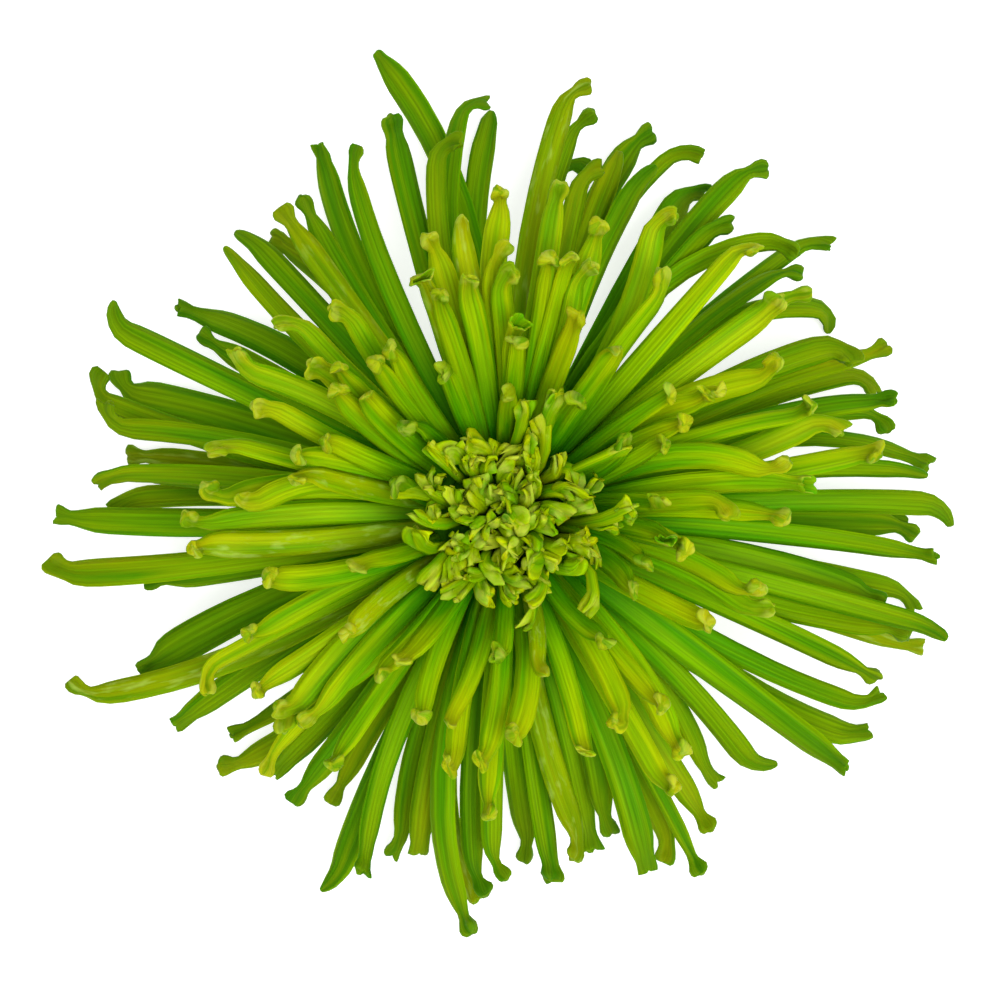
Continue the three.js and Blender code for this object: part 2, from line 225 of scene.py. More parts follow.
# %% Widths of a ray floret
RAY_BODY = 40 * MM  # length of the straight one up to its hook
HOOK = 5 * MM
DRAWN_OUT = 1.2  # how much longer the end is than the hook of the straight one
RIBS = 15
GROOVE = 0.14
RAY_FLAT = 0.5  # thickness over width
BODY_WIDTHS = {0: 2.0, 8: 2.8, 16: 3.3, 26: 3.55, 36: 3.6, 38: 3.6}  # width by distance from the foot
BODY_RINGS = (0, 5, 10, 15, 20, 25, 30, 33, 36, 38)
PRESSED_FROM, PRESSED_TO = 0.55, 0.76  # what lies past this share of the half thickness is pressed to that
CHANNEL_HALF, CHANNEL_DEPTH = 0.4, 0.1  # of the channel along the top, as shares of the half width

# Rings of the ends as (distance from the foot, width, flat), in millimetres. Where the distance falls
# again, the ring is inside the mouth.
FLARE = (
    (39.6, 3.4, 0.48), (41, 2.8, 0.54), (42.2, 2.3, 0.62), (43, 2.2, 0.68), (43.7, 2.5, 0.66),
    (44.3, 2.8, 0.62), (44.75, 2.9, 0.56), (44.9, 2.6, 0.5), (44.7, 2.1, 0.4), (44.3, 1.4, 0.3),
)
KNOB = (
    (39.6, 3.3, 0.5), (41, 2.6, 0.58), (42, 1.95, 0.7), (42.7, 1.85, 0.8), (43.3, 2.35, 0.84),
    (43.9, 2.8, 0.84), (44.5, 2.7, 0.82), (44.85, 2.0, 0.8), (45, 1.1, 0.76),
)
MITTEN = (
    (39.6, 3.5, 0.5), (41, 3.2, 0.52), (42, 2.7, 0.6), (42.7, 2.55, 0.68), (43.3, 2.85, 0.7),
    (43.9, 3.15, 0.68), (44.4, 3.0, 0.62), (44.8, 2.3, 0.58), (45, 1.2, 0.5),
)
FINGER = (
    (39.6, 3.5, 0.5), (41, 3.1, 0.54), (42.2, 2.7, 0.58), (43.3, 2.35, 0.62), (44.1, 1.9, 0.66),
    (44.6, 1.4, 0.7), (44.9, 0.9, 0.75), (45, 0.45, 0.8),
)
BLUNT = (
    (39.6, 3.6, 0.48), (41, 3.3, 0.5), (42.2, 3.0, 0.52), (43.3, 2.85, 0.54), (44.2, 2.95, 0.54),
    (44.85, 2.8, 0.5), (45, 2.4, 0.44), (44.8, 2.0, 0.36), (44.2, 1.5, 0.3),
)
SPOON = (
    (39.6, 3.5, 0.5), (41, 2.8, 0.58), (42.1, 2.5, 0.62), (43, 2.8, 0.6), (43.8, 3.3, 0.56),
    (44.5, 3.5, 0.52), (44.9, 3.5, 0.48), (44.8, 3.2, 0.38), (44.2, 2.7, 0.32), (43, 2.1, 0.3),
    (41.8, 1.4, 0.3),
)

# %% Model the six straight ray florets


def straight_ray(name, end):
    """A straight ray floret along X with its foot at the origin, ending in the given rings."""
    widths = np.interp(BODY_RINGS, list(BODY_WIDTHS), list(BODY_WIDTHS.values()))
    body = [(x, float(width), RAY_FLAT) for x, width in zip(BODY_RINGS, widths)]
    stations = [(x * MM, width * MM, flat) for x, width, flat in (*body, *end)]
    half = stations[0][1] / 2
    ray = start_ring(name, 2 * RIBS, stations[0][1], RAY_FLAT, GROOVE)
    # press the top and the bottom flat, and a shallow channel along the top
    select_where(lambda place: abs(place.z) > PRESSED_FROM * RAY_FLAT * half)
    bpy.ops.transform.resize(value=(1, 1, PRESSED_TO), center_override=(0, 0, 0))
    select_where(lambda place: place.z > 0 and abs(place.y) < CHANNEL_HALF * half)
    bpy.ops.transform.translate(value=(0, 0, -CHANNEL_DEPTH * half))
    bpy.ops.mesh.select_all(action="SELECT")
    extrude_rings(stations)
    return ray


LOBE_LEVELS = (0.1, 0.3, 0.5, 0.7, 0.88)  # a lobe is pushed out in steps, each from a higher level on


def ruffle(start, flat, lobes, turn, reach, wide):
    """Pushes the end past start forward and out at each lobe, and back and in between the lobes."""

    def wave(place):
        return math.cos(lobes * math.atan2(place.z / flat, place.y) - turn)

    for level in LOBE_LEVELS:
        for way in (1, -1):
            select_where(lambda place: place.x > start and way * wave(place) > level)
            bpy.ops.transform.translate(value=(way * reach / len(LOBE_LEVELS), 0, 0))
            scale = 1 + way * wide / len(LOBE_LEVELS)
            bpy.ops.transform.resize(value=(1, scale, scale), center_override=(start, 0, 0))


def spoon_lip(start, length, height, cut):
    """Draws the upper lip past start back in two steps, so that the lower one stands out like a spoon."""
    for share in (0.3, 0.65):
        select_where(lambda place: place.x > start + length * share and place.z > share * height)
        bpy.ops.transform.translate(value=(-cut / 2, 0, 0))


def dent(x, radius, depth):
    """Pushes a round hollow into the top of the tube at x, in two steps."""
    for share in (1, 0.6):
        select_where(lambda place: place.z > 0 and math.hypot(place.x - x, place.y) < share * radius)
        bpy.ops.transform.translate(value=(0, 0, -depth / 2))


flare_ray = straight_ray("flare_ray", FLARE)
ruffle(43.2 * MM, 0.6, 3, 0.8, 0.3 * MM, 0.14)
leave_edit_mode()
knob_ray = straight_ray("knob_ray", KNOB)
ruffle(42.4 * MM, 0.8, 3, 2.2, 0.08 * MM, 0.16)
leave_edit_mode()
mitten_ray = straight_ray("mitten_ray", MITTEN)
dent(43.5 * MM, 0.7 * MM, 0.35 * MM)
ruffle(42.6 * MM, 0.6, 3, 0.9, 0.25 * MM, 0.14)
leave_edit_mode()
finger_ray = straight_ray("finger_ray", FINGER)
leave_edit_mode()
blunt_ray = straight_ray("blunt_ray", BLUNT)
ruffle(43.9 * MM, 0.5, 3, 1.1, 0.25 * MM, 0.1)
leave_edit_mode()
spoon_ray = straight_ray("spoon_ray", SPOON)
ruffle(43.6 * MM, 0.45, 4, 2.0, 0.3 * MM, 0.12)
spoon_lip(42.6 * MM, 2 * MM, 0.4 * MM, 1.2 * MM)
leave_edit_mode()
STRAIGHT_RAYS = (flare_ray, knob_ray, mitten_ray, finger_ray, blunt_ray, spoon_ray)
for ray in STRAIGHT_RAYS:
    give_finishes(ray, petal_skin, petal_throat if ray == spoon_ray else None)
    print(f"{ray.name}: {len(ray.data.polygons)} faces, {ray.dimensions.x / MM:.1f} mm long")

# %% [markdown]
# ## The path of a floret
#
# Each floret leaves the head in its own direction, droops or rises along its length, sweeps a little
# to one side, and then turns up at its hook. Its path is walked in small steps: at each step the
# heading, seen from above, and the slope say where the next step goes.
#
# A Curve modifier could bend each copy along a drawn curve. Moving the points along the walked path
# does the same without two hundred curves, keeps the flat side of the tube level, and follows the
# solids closely, because they are walked in the same way. Only the hooks turn and reach a little
# differently, to suit their finer ends.

# %% Walk a path and lay a floret along it
STEPS = 120
FLOOR_GAP = 0.05 * MM  # least clearance of a floret that comes down to the table
APART = np.array([0, 7.3, 3.1])  # how far the patterns are moved on from one floret to the next


class Path:
    """A path of the given length whose heading and slope are functions of the arc length."""

    def __init__(self, start, length, heading, slope):
        self.s = np.linspace(0, length, STEPS + 1)
        self.heading = heading(self.s)
        self.slope = slope(self.s)
        along = self.directions(self.heading, self.slope)[0]
        strides = (along[1:] + along[:-1]) / 2 * length / STEPS
        self.places = np.vstack([start, start + np.cumsum(strides, axis=0)])

    @staticmethod
    def directions(h, e):
        """The unit vectors along the path, level across it, and up from it."""
        along = np.stack([np.cos(e) * np.cos(h), np.cos(e) * np.sin(h), np.sin(e)], axis=1)
        side = np.stack([-np.sin(h), np.cos(h), np.zeros_like(h)], axis=1)
        return along, side, np.cross(along, side)

    def at(self, s):
        """Places, side and up vectors at the given arc lengths."""
        places = np.stack([np.interp(s, self.s, self.places[:, k]) for k in range(3)], axis=1)
        h = np.interp(s, self.s, self.heading)
        e = np.interp(s, self.s, self.slope)
        _, side, up = self.directions(h, e)
        return places, side, up


def read_vectors(collection, key, count):
    """The vectors kept under key in a collection of that many, one a row."""
    flat = np.empty(3 * count)
    collection.foreach_get(key, flat)
    return flat.reshape(-1, 3)


def add_values(mesh, name, values):
    """Stores one number or one vector for each point, for the finish to read."""
    values = np.asarray(values, float)
    if name in mesh.attributes:
        mesh.attributes[name].data.foreach_set("value", values)
    elif values.ndim == 2:
        mesh.attributes.new(name, "FLOAT_VECTOR", "POINT").data.foreach_set("vector", values.ravel())
    else:
        mesh.attributes.new(name, "FLOAT", "POINT").data.foreach_set("value", values)


def lay(straight, i, path, s, across, up_by, tone, tinge):
    """A copy of a straight floret with each point moved to its arc length s along the path.

    across and up_by are the point's distances from the path, to the side and upwards."""
    piece = straight.copy()
    piece.data = straight.data.copy()
    bpy.context.scene.collection.objects.link(piece)
    mesh = piece.data
    count = len(mesh.vertices)
    old = read_vectors(mesh.vertices, "co", count)
    centre, side, up = path.at(s)
    lowest = np.abs(across).max() * RAY_FLAT / 2 + FLOOR_GAP
    centre[:, 2] = np.maximum(centre[:, 2], lowest)
    placed = centre + side * across[:, None] + up * up_by[:, None]
    placed[:, 2] = np.maximum(placed[:, 2], FLOOR_GAP)
    mesh.vertices.foreach_set("co", (placed + np.array(AXIS)).ravel())
    turn = read_vectors(mesh.attributes["round"].data, "vector", count)
    rest = np.stack([old[:, 0] / MM, turn[:, 1], turn[:, 2]], axis=1)
    add_values(mesh, "rest", rest + APART * i)
    add_values(mesh, "along", old[:, 0] / old[:, 0].max())
    add_values(mesh, "edge", turn[:, 1])
    add_values(mesh, "out", np.hypot(placed[:, 0], placed[:, 1]) / MM)
    add_values(mesh, "tone", np.full(count, tone))
    add_values(mesh, "tinge", np.full(count, tinge))
    mesh.update()
    return piece


# %% [markdown]
# ## Crumple and twist
#
# A living petal is never straight or even. Each copy is rolled a little about its own length, swells
# and thins along it, and its hook and lip are crumpled by a few slow waves.
#
# A floret's course is given by its tip and by one place that it passes on the way there. Between them
# it swings to one side, little at first and more towards the neck, and the hook then turns on from it.

# %% Lay a ray floret
MOST_SWING = 16 * MM
LEAST_BODY = 6 * MM
LATEST_WAY = 0.85  # a place on the way counts as no nearer to the neck than this share
SWING_SLACK = 0.9  # a swing w over a length l makes the floret longer by this times w * w / l
COURSE_ROUNDS = 5
LAMP_SIDE_BEARING = math.radians(-35)  # bearing of the lamp's side, where florets are painted yellower and lighter as painted light
LAMP_SIDE_SHARE = 0.45  # how much of a floret's tone comes from that painted light, and the rest from a draw
FULL_TURN = 6.28  # in radians
SWELL, SWELL_EVERY = 0.05, 7 * MM  # how much a floret swells, and how fast the swelling comes and goes
END_START, END_LENGTH = 1.02 * RAY_BODY, 0.6 * HOOK  # where a straight one's end takes over
END_WIDTHS, END_THICKS = (0.85, 1.15), (0.8, 1.4)  # least and most, as shares of the straight one's
END_CRUMPLE, END_FOLD = 0.16 * MM, 0.42 * MM  # depth of the crumpling, and width of its folds
FOLD_LENGTH = 0.6 * MM


def crumpled(i, x, y, fold, depth):
    """How far crossing waves of the given depth push the points of floret i, fold wide across it."""
    across = np.sin(y / fold + FULL_TURN * draw(i, 37))
    return depth * across * np.sin(x / FOLD_LENGTH + FULL_TURN * draw(i, 38))


def rolled(y, z, turn):
    """How far points lie aside of the path and above it, once the floret is rolled by turn."""
    return y * np.cos(turn) - z * np.sin(turn), y * np.sin(turn) + z * np.cos(turn)


def lay_ray(straight, i, path, body, size, flatter, roll):
    """A ray floret along its path, with its cross-section sized, flattened, rolled and crumpled."""
    count = len(straight.data.vertices)
    x, y, z = read_vectors(straight.data.vertices, "co", count).T
    s = np.where(x < RAY_BODY, x * body / RAY_BODY, body + DRAWN_OUT * (x - RAY_BODY))
    end = np.clip((x - END_START) / END_LENGTH, 0, 1)
    # the ribs run out on the end
    rib = np.empty(count)
    straight.data.attributes["rib"].data.foreach_get("value", rib)
    filled = mix(1, 1 / (1 - GROOVE), (1 - rib) * end)
    y, z = y * filled, z * filled
    swell = 1 + SWELL * np.sin(s / SWELL_EVERY + FULL_TURN * draw(i, 31))
    crumple = crumpled(i, x, y, END_FOLD, END_CRUMPLE * end)
    y = y * size * swell * mix(1, mix(*END_WIDTHS, draw(i, 35)) / size, end) + crumple
    z = z * size * swell * mix(flatter, mix(*END_THICKS, draw(i, 36)) / size, end) + crumple
    across, up_by = rolled(y, z, mix(*roll, x / (RAY_BODY + HOOK)))
    # painted light: a floret that heads towards the lamp gets a yellower, lighter tone
    facing_lamp = 0.5 + 0.5 * math.cos(path.heading[0] - LAMP_SIDE_BEARING)
    tone = mix(draw(i, 33), facing_lamp, LAMP_SIDE_SHARE)
    floret = lay(straight, i, path, s, across, up_by, tone, draw(i, 34) ** 2)
    add_values(floret.data, "rib", mix(rib, 0.5, end))
    return floret


def mean_cos(a, b):
    """The mean cosine of an angle that turns evenly from a to b."""
    return math.cos(a) if a == b else (math.sin(b) - math.sin(a)) / (b - a)


def mean_sin(a, b):
    """The mean sine of an angle that turns evenly from a to b."""
    return math.sin(a) if a == b else (math.cos(a) - math.cos(b)) / (b - a)


def course(tip, way, radius, slopes, lift, aside):
    """The course of a floret as seen from above, with places as complex numbers.

    It gives the first heading, the length of the body up to the neck, where the hook starts, and how
    far the floret swings aside on the way, so that it passes way and a hook that isn't drawn out
    ends at tip."""
    run = HOOK * mean_cos(slopes[1], slopes[1] + lift)
    hook = run * complex(mean_cos(0, aside), mean_sin(0, aside))
    ahead = cmath.phase(tip - way)
    # the hook goes on from the heading at the neck, which the swing changes
    for _ in range(COURSE_ROUNDS):
        neck = tip - hook * cmath.rect(1, ahead)
        reach = abs(neck)
        turn = cmath.phase(neck / way)
        passed = min((abs(way) - radius) / (reach - radius), LATEST_WAY)
        swing = turn / (1 / reach - passed**3 / abs(way))
        swing = max(-MOST_SWING, min(MOST_SWING, swing))
        first = cmath.phase(neck) - swing / reach
        straight = math.sqrt(reach**2 - swing**2) - radius
        level = straight + SWING_SLACK * swing**2 / straight
        body = max(level / math.cos(sum(slopes) / 2), LEAST_BODY)
        ahead = first + 3 * swing / body
    return first, body, swing


def ray_path(tip, way, root, slopes, lift, aside):
    """The path of a ray floret and the length of its body, from lengths in metres and angles.

    root is the radius and height that it starts from, slopes the two at its foot and at its neck, and
    lift and aside turn the hook up and sideways."""
    radius, height = root
    first, body, swing = course(tip, way, radius, slopes, lift, aside)

    def heading(s):
        return first + 3 * swing / body * np.minimum(s / body, 1) ** 2 + aside * hooked(s)

    def slope(s):
        return mix(slopes[0], slopes[1], np.minimum(s / body, 1)) + lift * hooked(s)

    def hooked(s):
        return np.maximum((s - body) / HOOK, 0)

    start = np.array([radius * math.cos(first), radius * math.sin(first), height])
    return Path(start, body + DRAWN_OUT * HOOK, heading, slope), body


# %% [markdown]
# ## The outer ray florets
#
# The longest florets leave the lower part of the head at three heights and droop to the table. Where
# each one's tip lies, what it passes, how its hook turns and how wide it is can't be drawn by a rule,
# so these stay a list. All else about them is drawn.

# %% Where the outer ray florets lie
# [x and y of the tip, x and y of a place on the way, both in mm from the axis, turn of the hook in
# degrees anticlockwise, width as a share of the common one]
OUTER = [
    [61, -1, 49, 1, 0, 0.9], [67, -1, 55, 2, -60, 0.9], [62, 6, 49, 7, -10, 0.9],
    [64, 7, 52, 11, -10, 0.8], [57, 13, 46, 15, -60, 0.7], [57, 17, 46, 16, 0, 0.9],
    [56, 19, 44, 19, -70, 0.9], [57, 25, 46, 22, 10, 0.9], [51, 23, 39, 22, -70, 1.1],
    [50, 27, 40, 31, -90, 1], [44, 36, 35, 33, -40, 0.8], [43, 38, 30, 37, -50, 0.9],
    [49, 41, 41, 39, -50, 0.8], [39, 52, 32, 49, -40, 1], [33, 43, 24, 35, -30, 0.9],
    [30, 49, 23, 41, -60, 1.4], [29, 54, 20, 51, -60, 0.7], [22, 51, 16, 43, -20, 1],
    [22, 58, 15, 49, -20, 1.1], [17, 54, 13, 44, 0, 0.9], [14, 51, 10, 45, -50, 0.8],
    [12, 53, 6, 47, -90, 0.8], [13, 60, 8, 55, -40, 0.8], [12, 64, 6, 51, -50, 1],
    [-2, 61, -4, 49, 0, 0.9], [-3, 62, -8, 51, -80, 0.9], [-7, 55, -10, 45, -90, 0.8],
    [-20, 70, -12, 58, 0, 1.1], [-17, 59, -13, 42, 0, 1], [-22, 54, -19, 39, -30, 0.9],
    [-28, 56, -23, 40, 0, 1], [-30, 47, -27, 40, 0, 0.9], [-33, 45, -28, 38, 0, 0.9],
    [-35, 42, -25, 34, 0, 1], [-40, 42, -31, 34, 20, 1], [-41, 39, -33, 30, 0, 1],
    [-49, 31, -34, 25, 0, 1.1], [-45, 27, -37, 22, -10, 0.9], [-58, 31, -50, 24, -70, 1.1],
    [-59, 21, -46, 16, -60, 1.3], [-61, 21, -52, 14, -90, 0.9], [-59, 16, -47, 12, -80, 0.9],
    [-57, 9, -46, 8, 0, 0.8], [-55, 6, -43, 5, 0, 0.9], [-60, 5, -47, 6, 25, 0.9],
    [-59, 1, -45, 3, 30, 0.9], [-67, 0, -53, -1, -10, 1.1], [-67, -7, -53, -8, -40, 1.1],
    [-54, -10, -41, -8, 0, 1], [-54, -23, -38, -14, 0, 1.4], [-64, -25, -49, -24, -50, 1],
    [-45, -24, -34, -18, 0, 1], [-49, -31, -39, -24, 0, 1], [-40, -32, -31, -27, -10, 0.8],
    [-43, -38, -31, -32, -20, 1], [-34, -38, -25, -29, 0, 1], [-31, -42, -24, -33, 0, 1],
    [-26, -43, -20, -32, 0, 0.9], [-27, -56, -20, -41, -30, 1], [-21, -52, -18, -38, 0, 0.9],
    [-17, -51, -14, -38, -30, 0.8], [-13, -50, -11, -37, 0, 1], [-5, -61, -9, -44, 10, 1],
    [-4, -58, -8, -46, 10, 0.9], [-3, -56, -5, -43, 30, 0.9], [0, -53, -2, -41, 40, 0.9],
    [3, -52, 2, -40, -20, 1.1], [7, -54, 5, -41, 0, 0.9], [9, -50, 8, -40, -40, 1],
    [13, -50, 11, -40, 0, 0.9], [16, -47, 13, -35, 20, 1], [21, -52, 18, -41, 0, 1.2],
    [24, -52, 22, -43, -40, 0.9], [29, -53, 24, -43, 0, 0.6], [30, -46, 25, -38, 0, 1],
    [32, -40, 27, -31, 20, 0.8], [40, -37, 31, -30, 60, 1], [50, -37, 38, -28, 0, 1.2],
    [55, -33, 45, -31, 30, 1.2], [56, -27, 44, -25, 50, 0.9], [55, -24, 45, -19, 0, 1],
    [63, -20, 52, -17, 10, 0.7], [60, -18, 47, -15, -20, 1.1], [65, -18, 54, -14, -20, 0.9],
    [62, -14, 54, -10, -50, 0.9], [56, -13, 44, -9, 0, 1.3], [63, -6, 52, -4, 0, 0.9],
    [62, -3, 50, -1, -30, 1],
]
TIERS = ((14.1, -3, -22), (15.3, 1, -16), (16.5, 4, -11))  # height, slope at the foot and at the end
LOWER_RADIUS = 10.6 * MM
SUNK = 2.7 * MM  # how far a foot starts inside the receptacle
OUTER_LIFT = (-15, 50)  # least and most turn of an outer hook upwards, in degrees
OUTER_SIZE = 1.1  # the common width of an outer floret, as a share of the straight one's
OUTER_ENDS = (0.16, 0.36, 0.15, 0.17, 0.13, 0.03)  # shares of the six kinds, in their order above
BROAD_FLAT, SLIM_FLAT = 0.68, 0.84  # thickness of a broad and a slim one, as a share of the straight one's
FOOT_ROLL, END_ROLL = 20, 50  # the most that a floret is rolled at its foot and at its end, in degrees

# %% Lay the outer ray florets


def pick(kinds, shares, chance):
    """The kind that a chance between 0 and 1 falls to, when each has its share of the chances."""
    return kinds[int(np.searchsorted(np.cumsum(shares), chance * sum(shares)))]


def rolls(i):
    """The roll of floret i at its foot and at its end."""
    return math.radians(spread(i, 23, FOOT_ROLL)), math.radians(spread(i, 24, END_ROLL))


def outer_floret(i, tip_x, tip_y, way_x, way_y, turn, width):
    """The outer floret of one line of the list."""
    height, foot, neck = TIERS[i % len(TIERS)]
    slopes = [math.radians(foot + spread(i, 1, 1)), math.radians(neck + spread(i, 2, 2))]
    lift = math.radians(mix(*OUTER_LIFT, draw(i, 3)))
    root = (LOWER_RADIUS - SUNK, height * MM)
    tip, way = complex(tip_x, tip_y) * MM, complex(way_x, way_y) * MM
    path, body = ray_path(tip, way, root, slopes, lift, math.radians(turn))
    size = OUTER_SIZE * width * mix(0.95, 1.05, draw(i, 6))
    end = pick(STRAIGHT_RAYS, OUTER_ENDS, draw(i, 21))
    floret = lay_ray(end, i, path, body, size, BROAD_FLAT if width > 1.2 else SLIM_FLAT, rolls(i))
    for slot, finish in enumerate(floret.data.materials):
        if finish == petal_skin:
            floret.data.materials[slot] = rim_skin_shaded
    return floret


outer_florets = [outer_floret(i, *row) for i, row in enumerate(OUTER)]
print(len(outer_florets), "outer ray florets laid")

# %% [markdown]
# ## The receptacle
#
# The florets grow from the receptacle, a thick round cushion in the middle of the head. Little of it
# shows between their feet. It is turned, as on a lathe: a circle is extruded from ring to ring, and
# each ring is made wider or narrower. The cup under the head is turned in the same way further down.

# %% Turn the lower part of the receptacle
TURNED_SIDES = 48


def turned(name, rings, finish):
    """A closed round body about the axis, from its rings (radius, height) in millimetres."""
    (radius, height), *others = rings
    bpy.ops.mesh.primitive_circle_add(
        vertices=TURNED_SIDES, radius=radius * MM, fill_type="NGON", location=(0, 0, height * MM)
    )
    body = bpy.context.object
    body.name = name
    bpy.ops.object.transform_apply(location=True)
    bpy.ops.object.mode_set(mode="EDIT")
    bpy.ops.mesh.select_all(action="SELECT")
    for wider, higher in others:
        bpy.ops.mesh.extrude_region_move(
            TRANSFORM_OT_translate={"value": (0, 0, (higher - height) * MM)}
        )
        scale = wider / radius
        bpy.ops.transform.resize(value=(scale, scale, 1), center_override=(0, 0, 0))
        radius, height = wider, higher
    bpy.ops.mesh.select_all(action="SELECT")
    bpy.ops.transform.translate(value=AXIS)
    leave_edit_mode()
    body.data.materials.append(finish)
    return body


LOWER_RINGS = ((9.6, 12.3), (10.6, 13.2), (10.6, 16.8), (9.6, 17.6))
lower_drum = turned("lower_drum", LOWER_RINGS, receptacle_skin)
outer_piece = join("outer_ray_floret_ring", [*outer_florets, lower_drum])
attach(outer_piece, "root")
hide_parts("outer_ray_florets")

# %% [markdown]
# ## The inner ray florets
#
# The inner ones grow higher up and are laid in the same way. The shorter a floret is, the nearer the
# middle it starts and the steeper it stands, and it turns up sharply at its hook, so that from above
# most of them show the round end of a knob.

# %% Where the inner ray florets lie
# [x and y of the tip, x and y of a place on the way], in mm from the axis
INNER = [
    [31, 0, 23, 2], [39, 7, 28, 8], [43, 4, 34, 5], [54, 9, 42, 7], [48, 12, 37, 10], [39, -1, 31, 1],
    [25, 13, 20, 11], [23, 17, 17, 13], [28, 17, 21, 14], [30, 17, 24, 15], [43, 16, 34, 13],
    [22, 10, 14, 6], [21, 1, 14, 2], [22, -4, 15, -1], [25, -5, 17, -2], [19, -7, 13, -3],
    [17, -11, 12, -5], [35, -10, 27, -7], [37, -12, 28, -9], [28, -14, 20, -11], [17, 0, 11, 1],
    [14, -17, 8, -12], [22, -26, 16, -20], [25, -33, 20, -24], [24, -38, 18, -30], [11, -33, 8, -21],
    [15, -29, 12, -18], [5, -22, 4, -14], [-1, -19, 0, -11], [-11, -28, -9, -18], [-8, -29, -4, -20],
    [0, -30, 3, -21], [-4, -34, -1, -25], [-8, -35, -6, -25], [-2, -42, -2, -33], [-15, -20, -9, -14],
    [-17, -22, -12, -16], [-22, -16, -15, -10], [-24, -35, -17, -24], [-31, -30, -23, -23],
    [-29, -28, -22, -22], [-35, -25, -25, -18], [-32, -27, -24, -20], [-34, -37, -28, -28],
    [-43, -25, -34, -17], [-36, -16, -27, -12], [-33, -8, -24, -8], [-21, -7, -14, -5],
    [-37, 2, -28, 4], [-44, -5, -34, -4], [-29, 8, -21, 7], [-29, 5, -20, 4], [-25, 10, -17, 7],
    [-41, 9, -30, 8], [-42, 4, -31, 4], [-45, 0, -34, 0], [-35, 15, -25, 11], [-23, 18, -17, 11],
    [-19, 17, -13, 10], [-15, 5, -9, 2], [-38, 23, -25, 16], [-24, 29, -16, 19], [-32, 27, -22, 20],
    [-27, 21, -18, 14], [-23, 21, -16, 13], [-18, 21, -11, 12], [-16, 23, -11, 15], [-8, 20, -5, 12],
    [-12, 33, -7, 21], [-11, 39, -6, 24], [-6, 42, -4, 27], [-1, 46, -2, 28], [0, 38, -1, 25],
    [1, 34, 0, 24], [-5, 33, -3, 21], [-9, 31, -6, 20], [2, 27, 1, 17], [2, 24, 1, 14], [1, 17, 0, 9],
    [6, 36, 4, 21], [9, 36, 5, 20], [12, 35, 7, 20], [10, 28, 6, 17], [13, 41, 9, 27], [8, 47, 5, 31],
    [15, 23, 9, 14], [22, 34, 12, 18], [24, 43, 17, 27], [36, 38, 22, 25], [44, 32, 35, 28],
    [39, 31, 25, 20], [38, 22, 27, 17], [10, 16, 5, 9], [16, 11, 12, 6], [-14, 12, -8, 9],
]
LONGEST, SHORTEST = 54, 15.5  # reach of the inner florets, in mm
# each of these is for the longest floret and for the shortest
UPPER_RADII, UPPER_HEIGHTS = (10.6 * MM, 10.0 * MM), (19 * MM, 22.8 * MM)  # where they start
INNER_FOOT, INNER_NECK = (7, 32), (-5, 62)  # slope at the foot and at the neck, in degrees
INNER_WIDTHS = (1, 0.8)
# and each of these is the least and the most
INNER_LIFT, INNER_ASIDE = (5, 80), (5, 75)  # turn of the hook upwards and to one side, in degrees
INNER_SIZES = (0.86, 1.04)
BROAD_CHANCE = 0.15
BROAD_SIZE, SLIM_SIZE = 1.25, 1.05
INNER_ENDS = (0.14, 0.28, 0.36, 0.06, 0.12, 0.04)  # shares of the six kinds of ray floret

# %% Lay the inner ray florets


def inner_floret(i, tip_x, tip_y, way_x, way_y):
    """The inner floret of one line of the list."""
    share = float(np.clip((LONGEST - math.hypot(tip_x, tip_y)) / (LONGEST - SHORTEST), 0, 1))
    foot, neck = mix(*INNER_FOOT, share), mix(*INNER_NECK, share) + spread(i, 4, 2)
    slopes = [math.radians(foot), math.radians(neck)]
    lift = math.radians(mix(*INNER_LIFT, draw(i, 5)))
    aside = math.radians(math.copysign(mix(*INNER_ASIDE, draw(i, 6)), draw(i, 8) - 0.5))
    root = (mix(*UPPER_RADII, share * share) - SUNK, mix(*UPPER_HEIGHTS, share))
    tip, way = complex(tip_x, tip_y) * MM, complex(way_x, way_y) * MM
    path, body = ray_path(tip, way, root, slopes, lift, aside)
    broad = draw(i, 22) > 1 - BROAD_CHANCE
    size = mix(*INNER_SIZES, draw(i, 7)) * (BROAD_SIZE if broad else SLIM_SIZE)
    size *= mix(*INNER_WIDTHS, share * share)
    number = i + len(OUTER)
    end = pick(STRAIGHT_RAYS, INNER_ENDS, draw(number, 21))
    return lay_ray(end, number, path, body, size, BROAD_FLAT if broad else SLIM_FLAT, rolls(i))


inner_florets = [inner_floret(i, *row) for i, row in enumerate(INNER)]
print(len(inner_florets), "inner ray florets laid")
UPPER_RINGS = ((9.8, 17.9), (10.6, 18.8), (10.5, 22.6), (9.9, 24), (8.6, 24.6))
upper_drum = turned("upper_drum", UPPER_RINGS, receptacle_skin)
inner_piece = join("inner_ray_floret_ring", [*inner_florets, upper_drum])
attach(inner_piece, "root")
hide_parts("inner_ray_florets")

# %% [markdown]
# ## The tuft in the middle
#
# The florets of the middle are short, pale and soft. Each is a little tube whose lip is torn into a few
# lobes and folded over, so from above the tuft looks like ruffles with dark gaps. Three straight ones
# are extruded in the same way as the long florets: one that opens in a lobed bell, one that ends flat
# with two teeth, and one that closes in a hood.

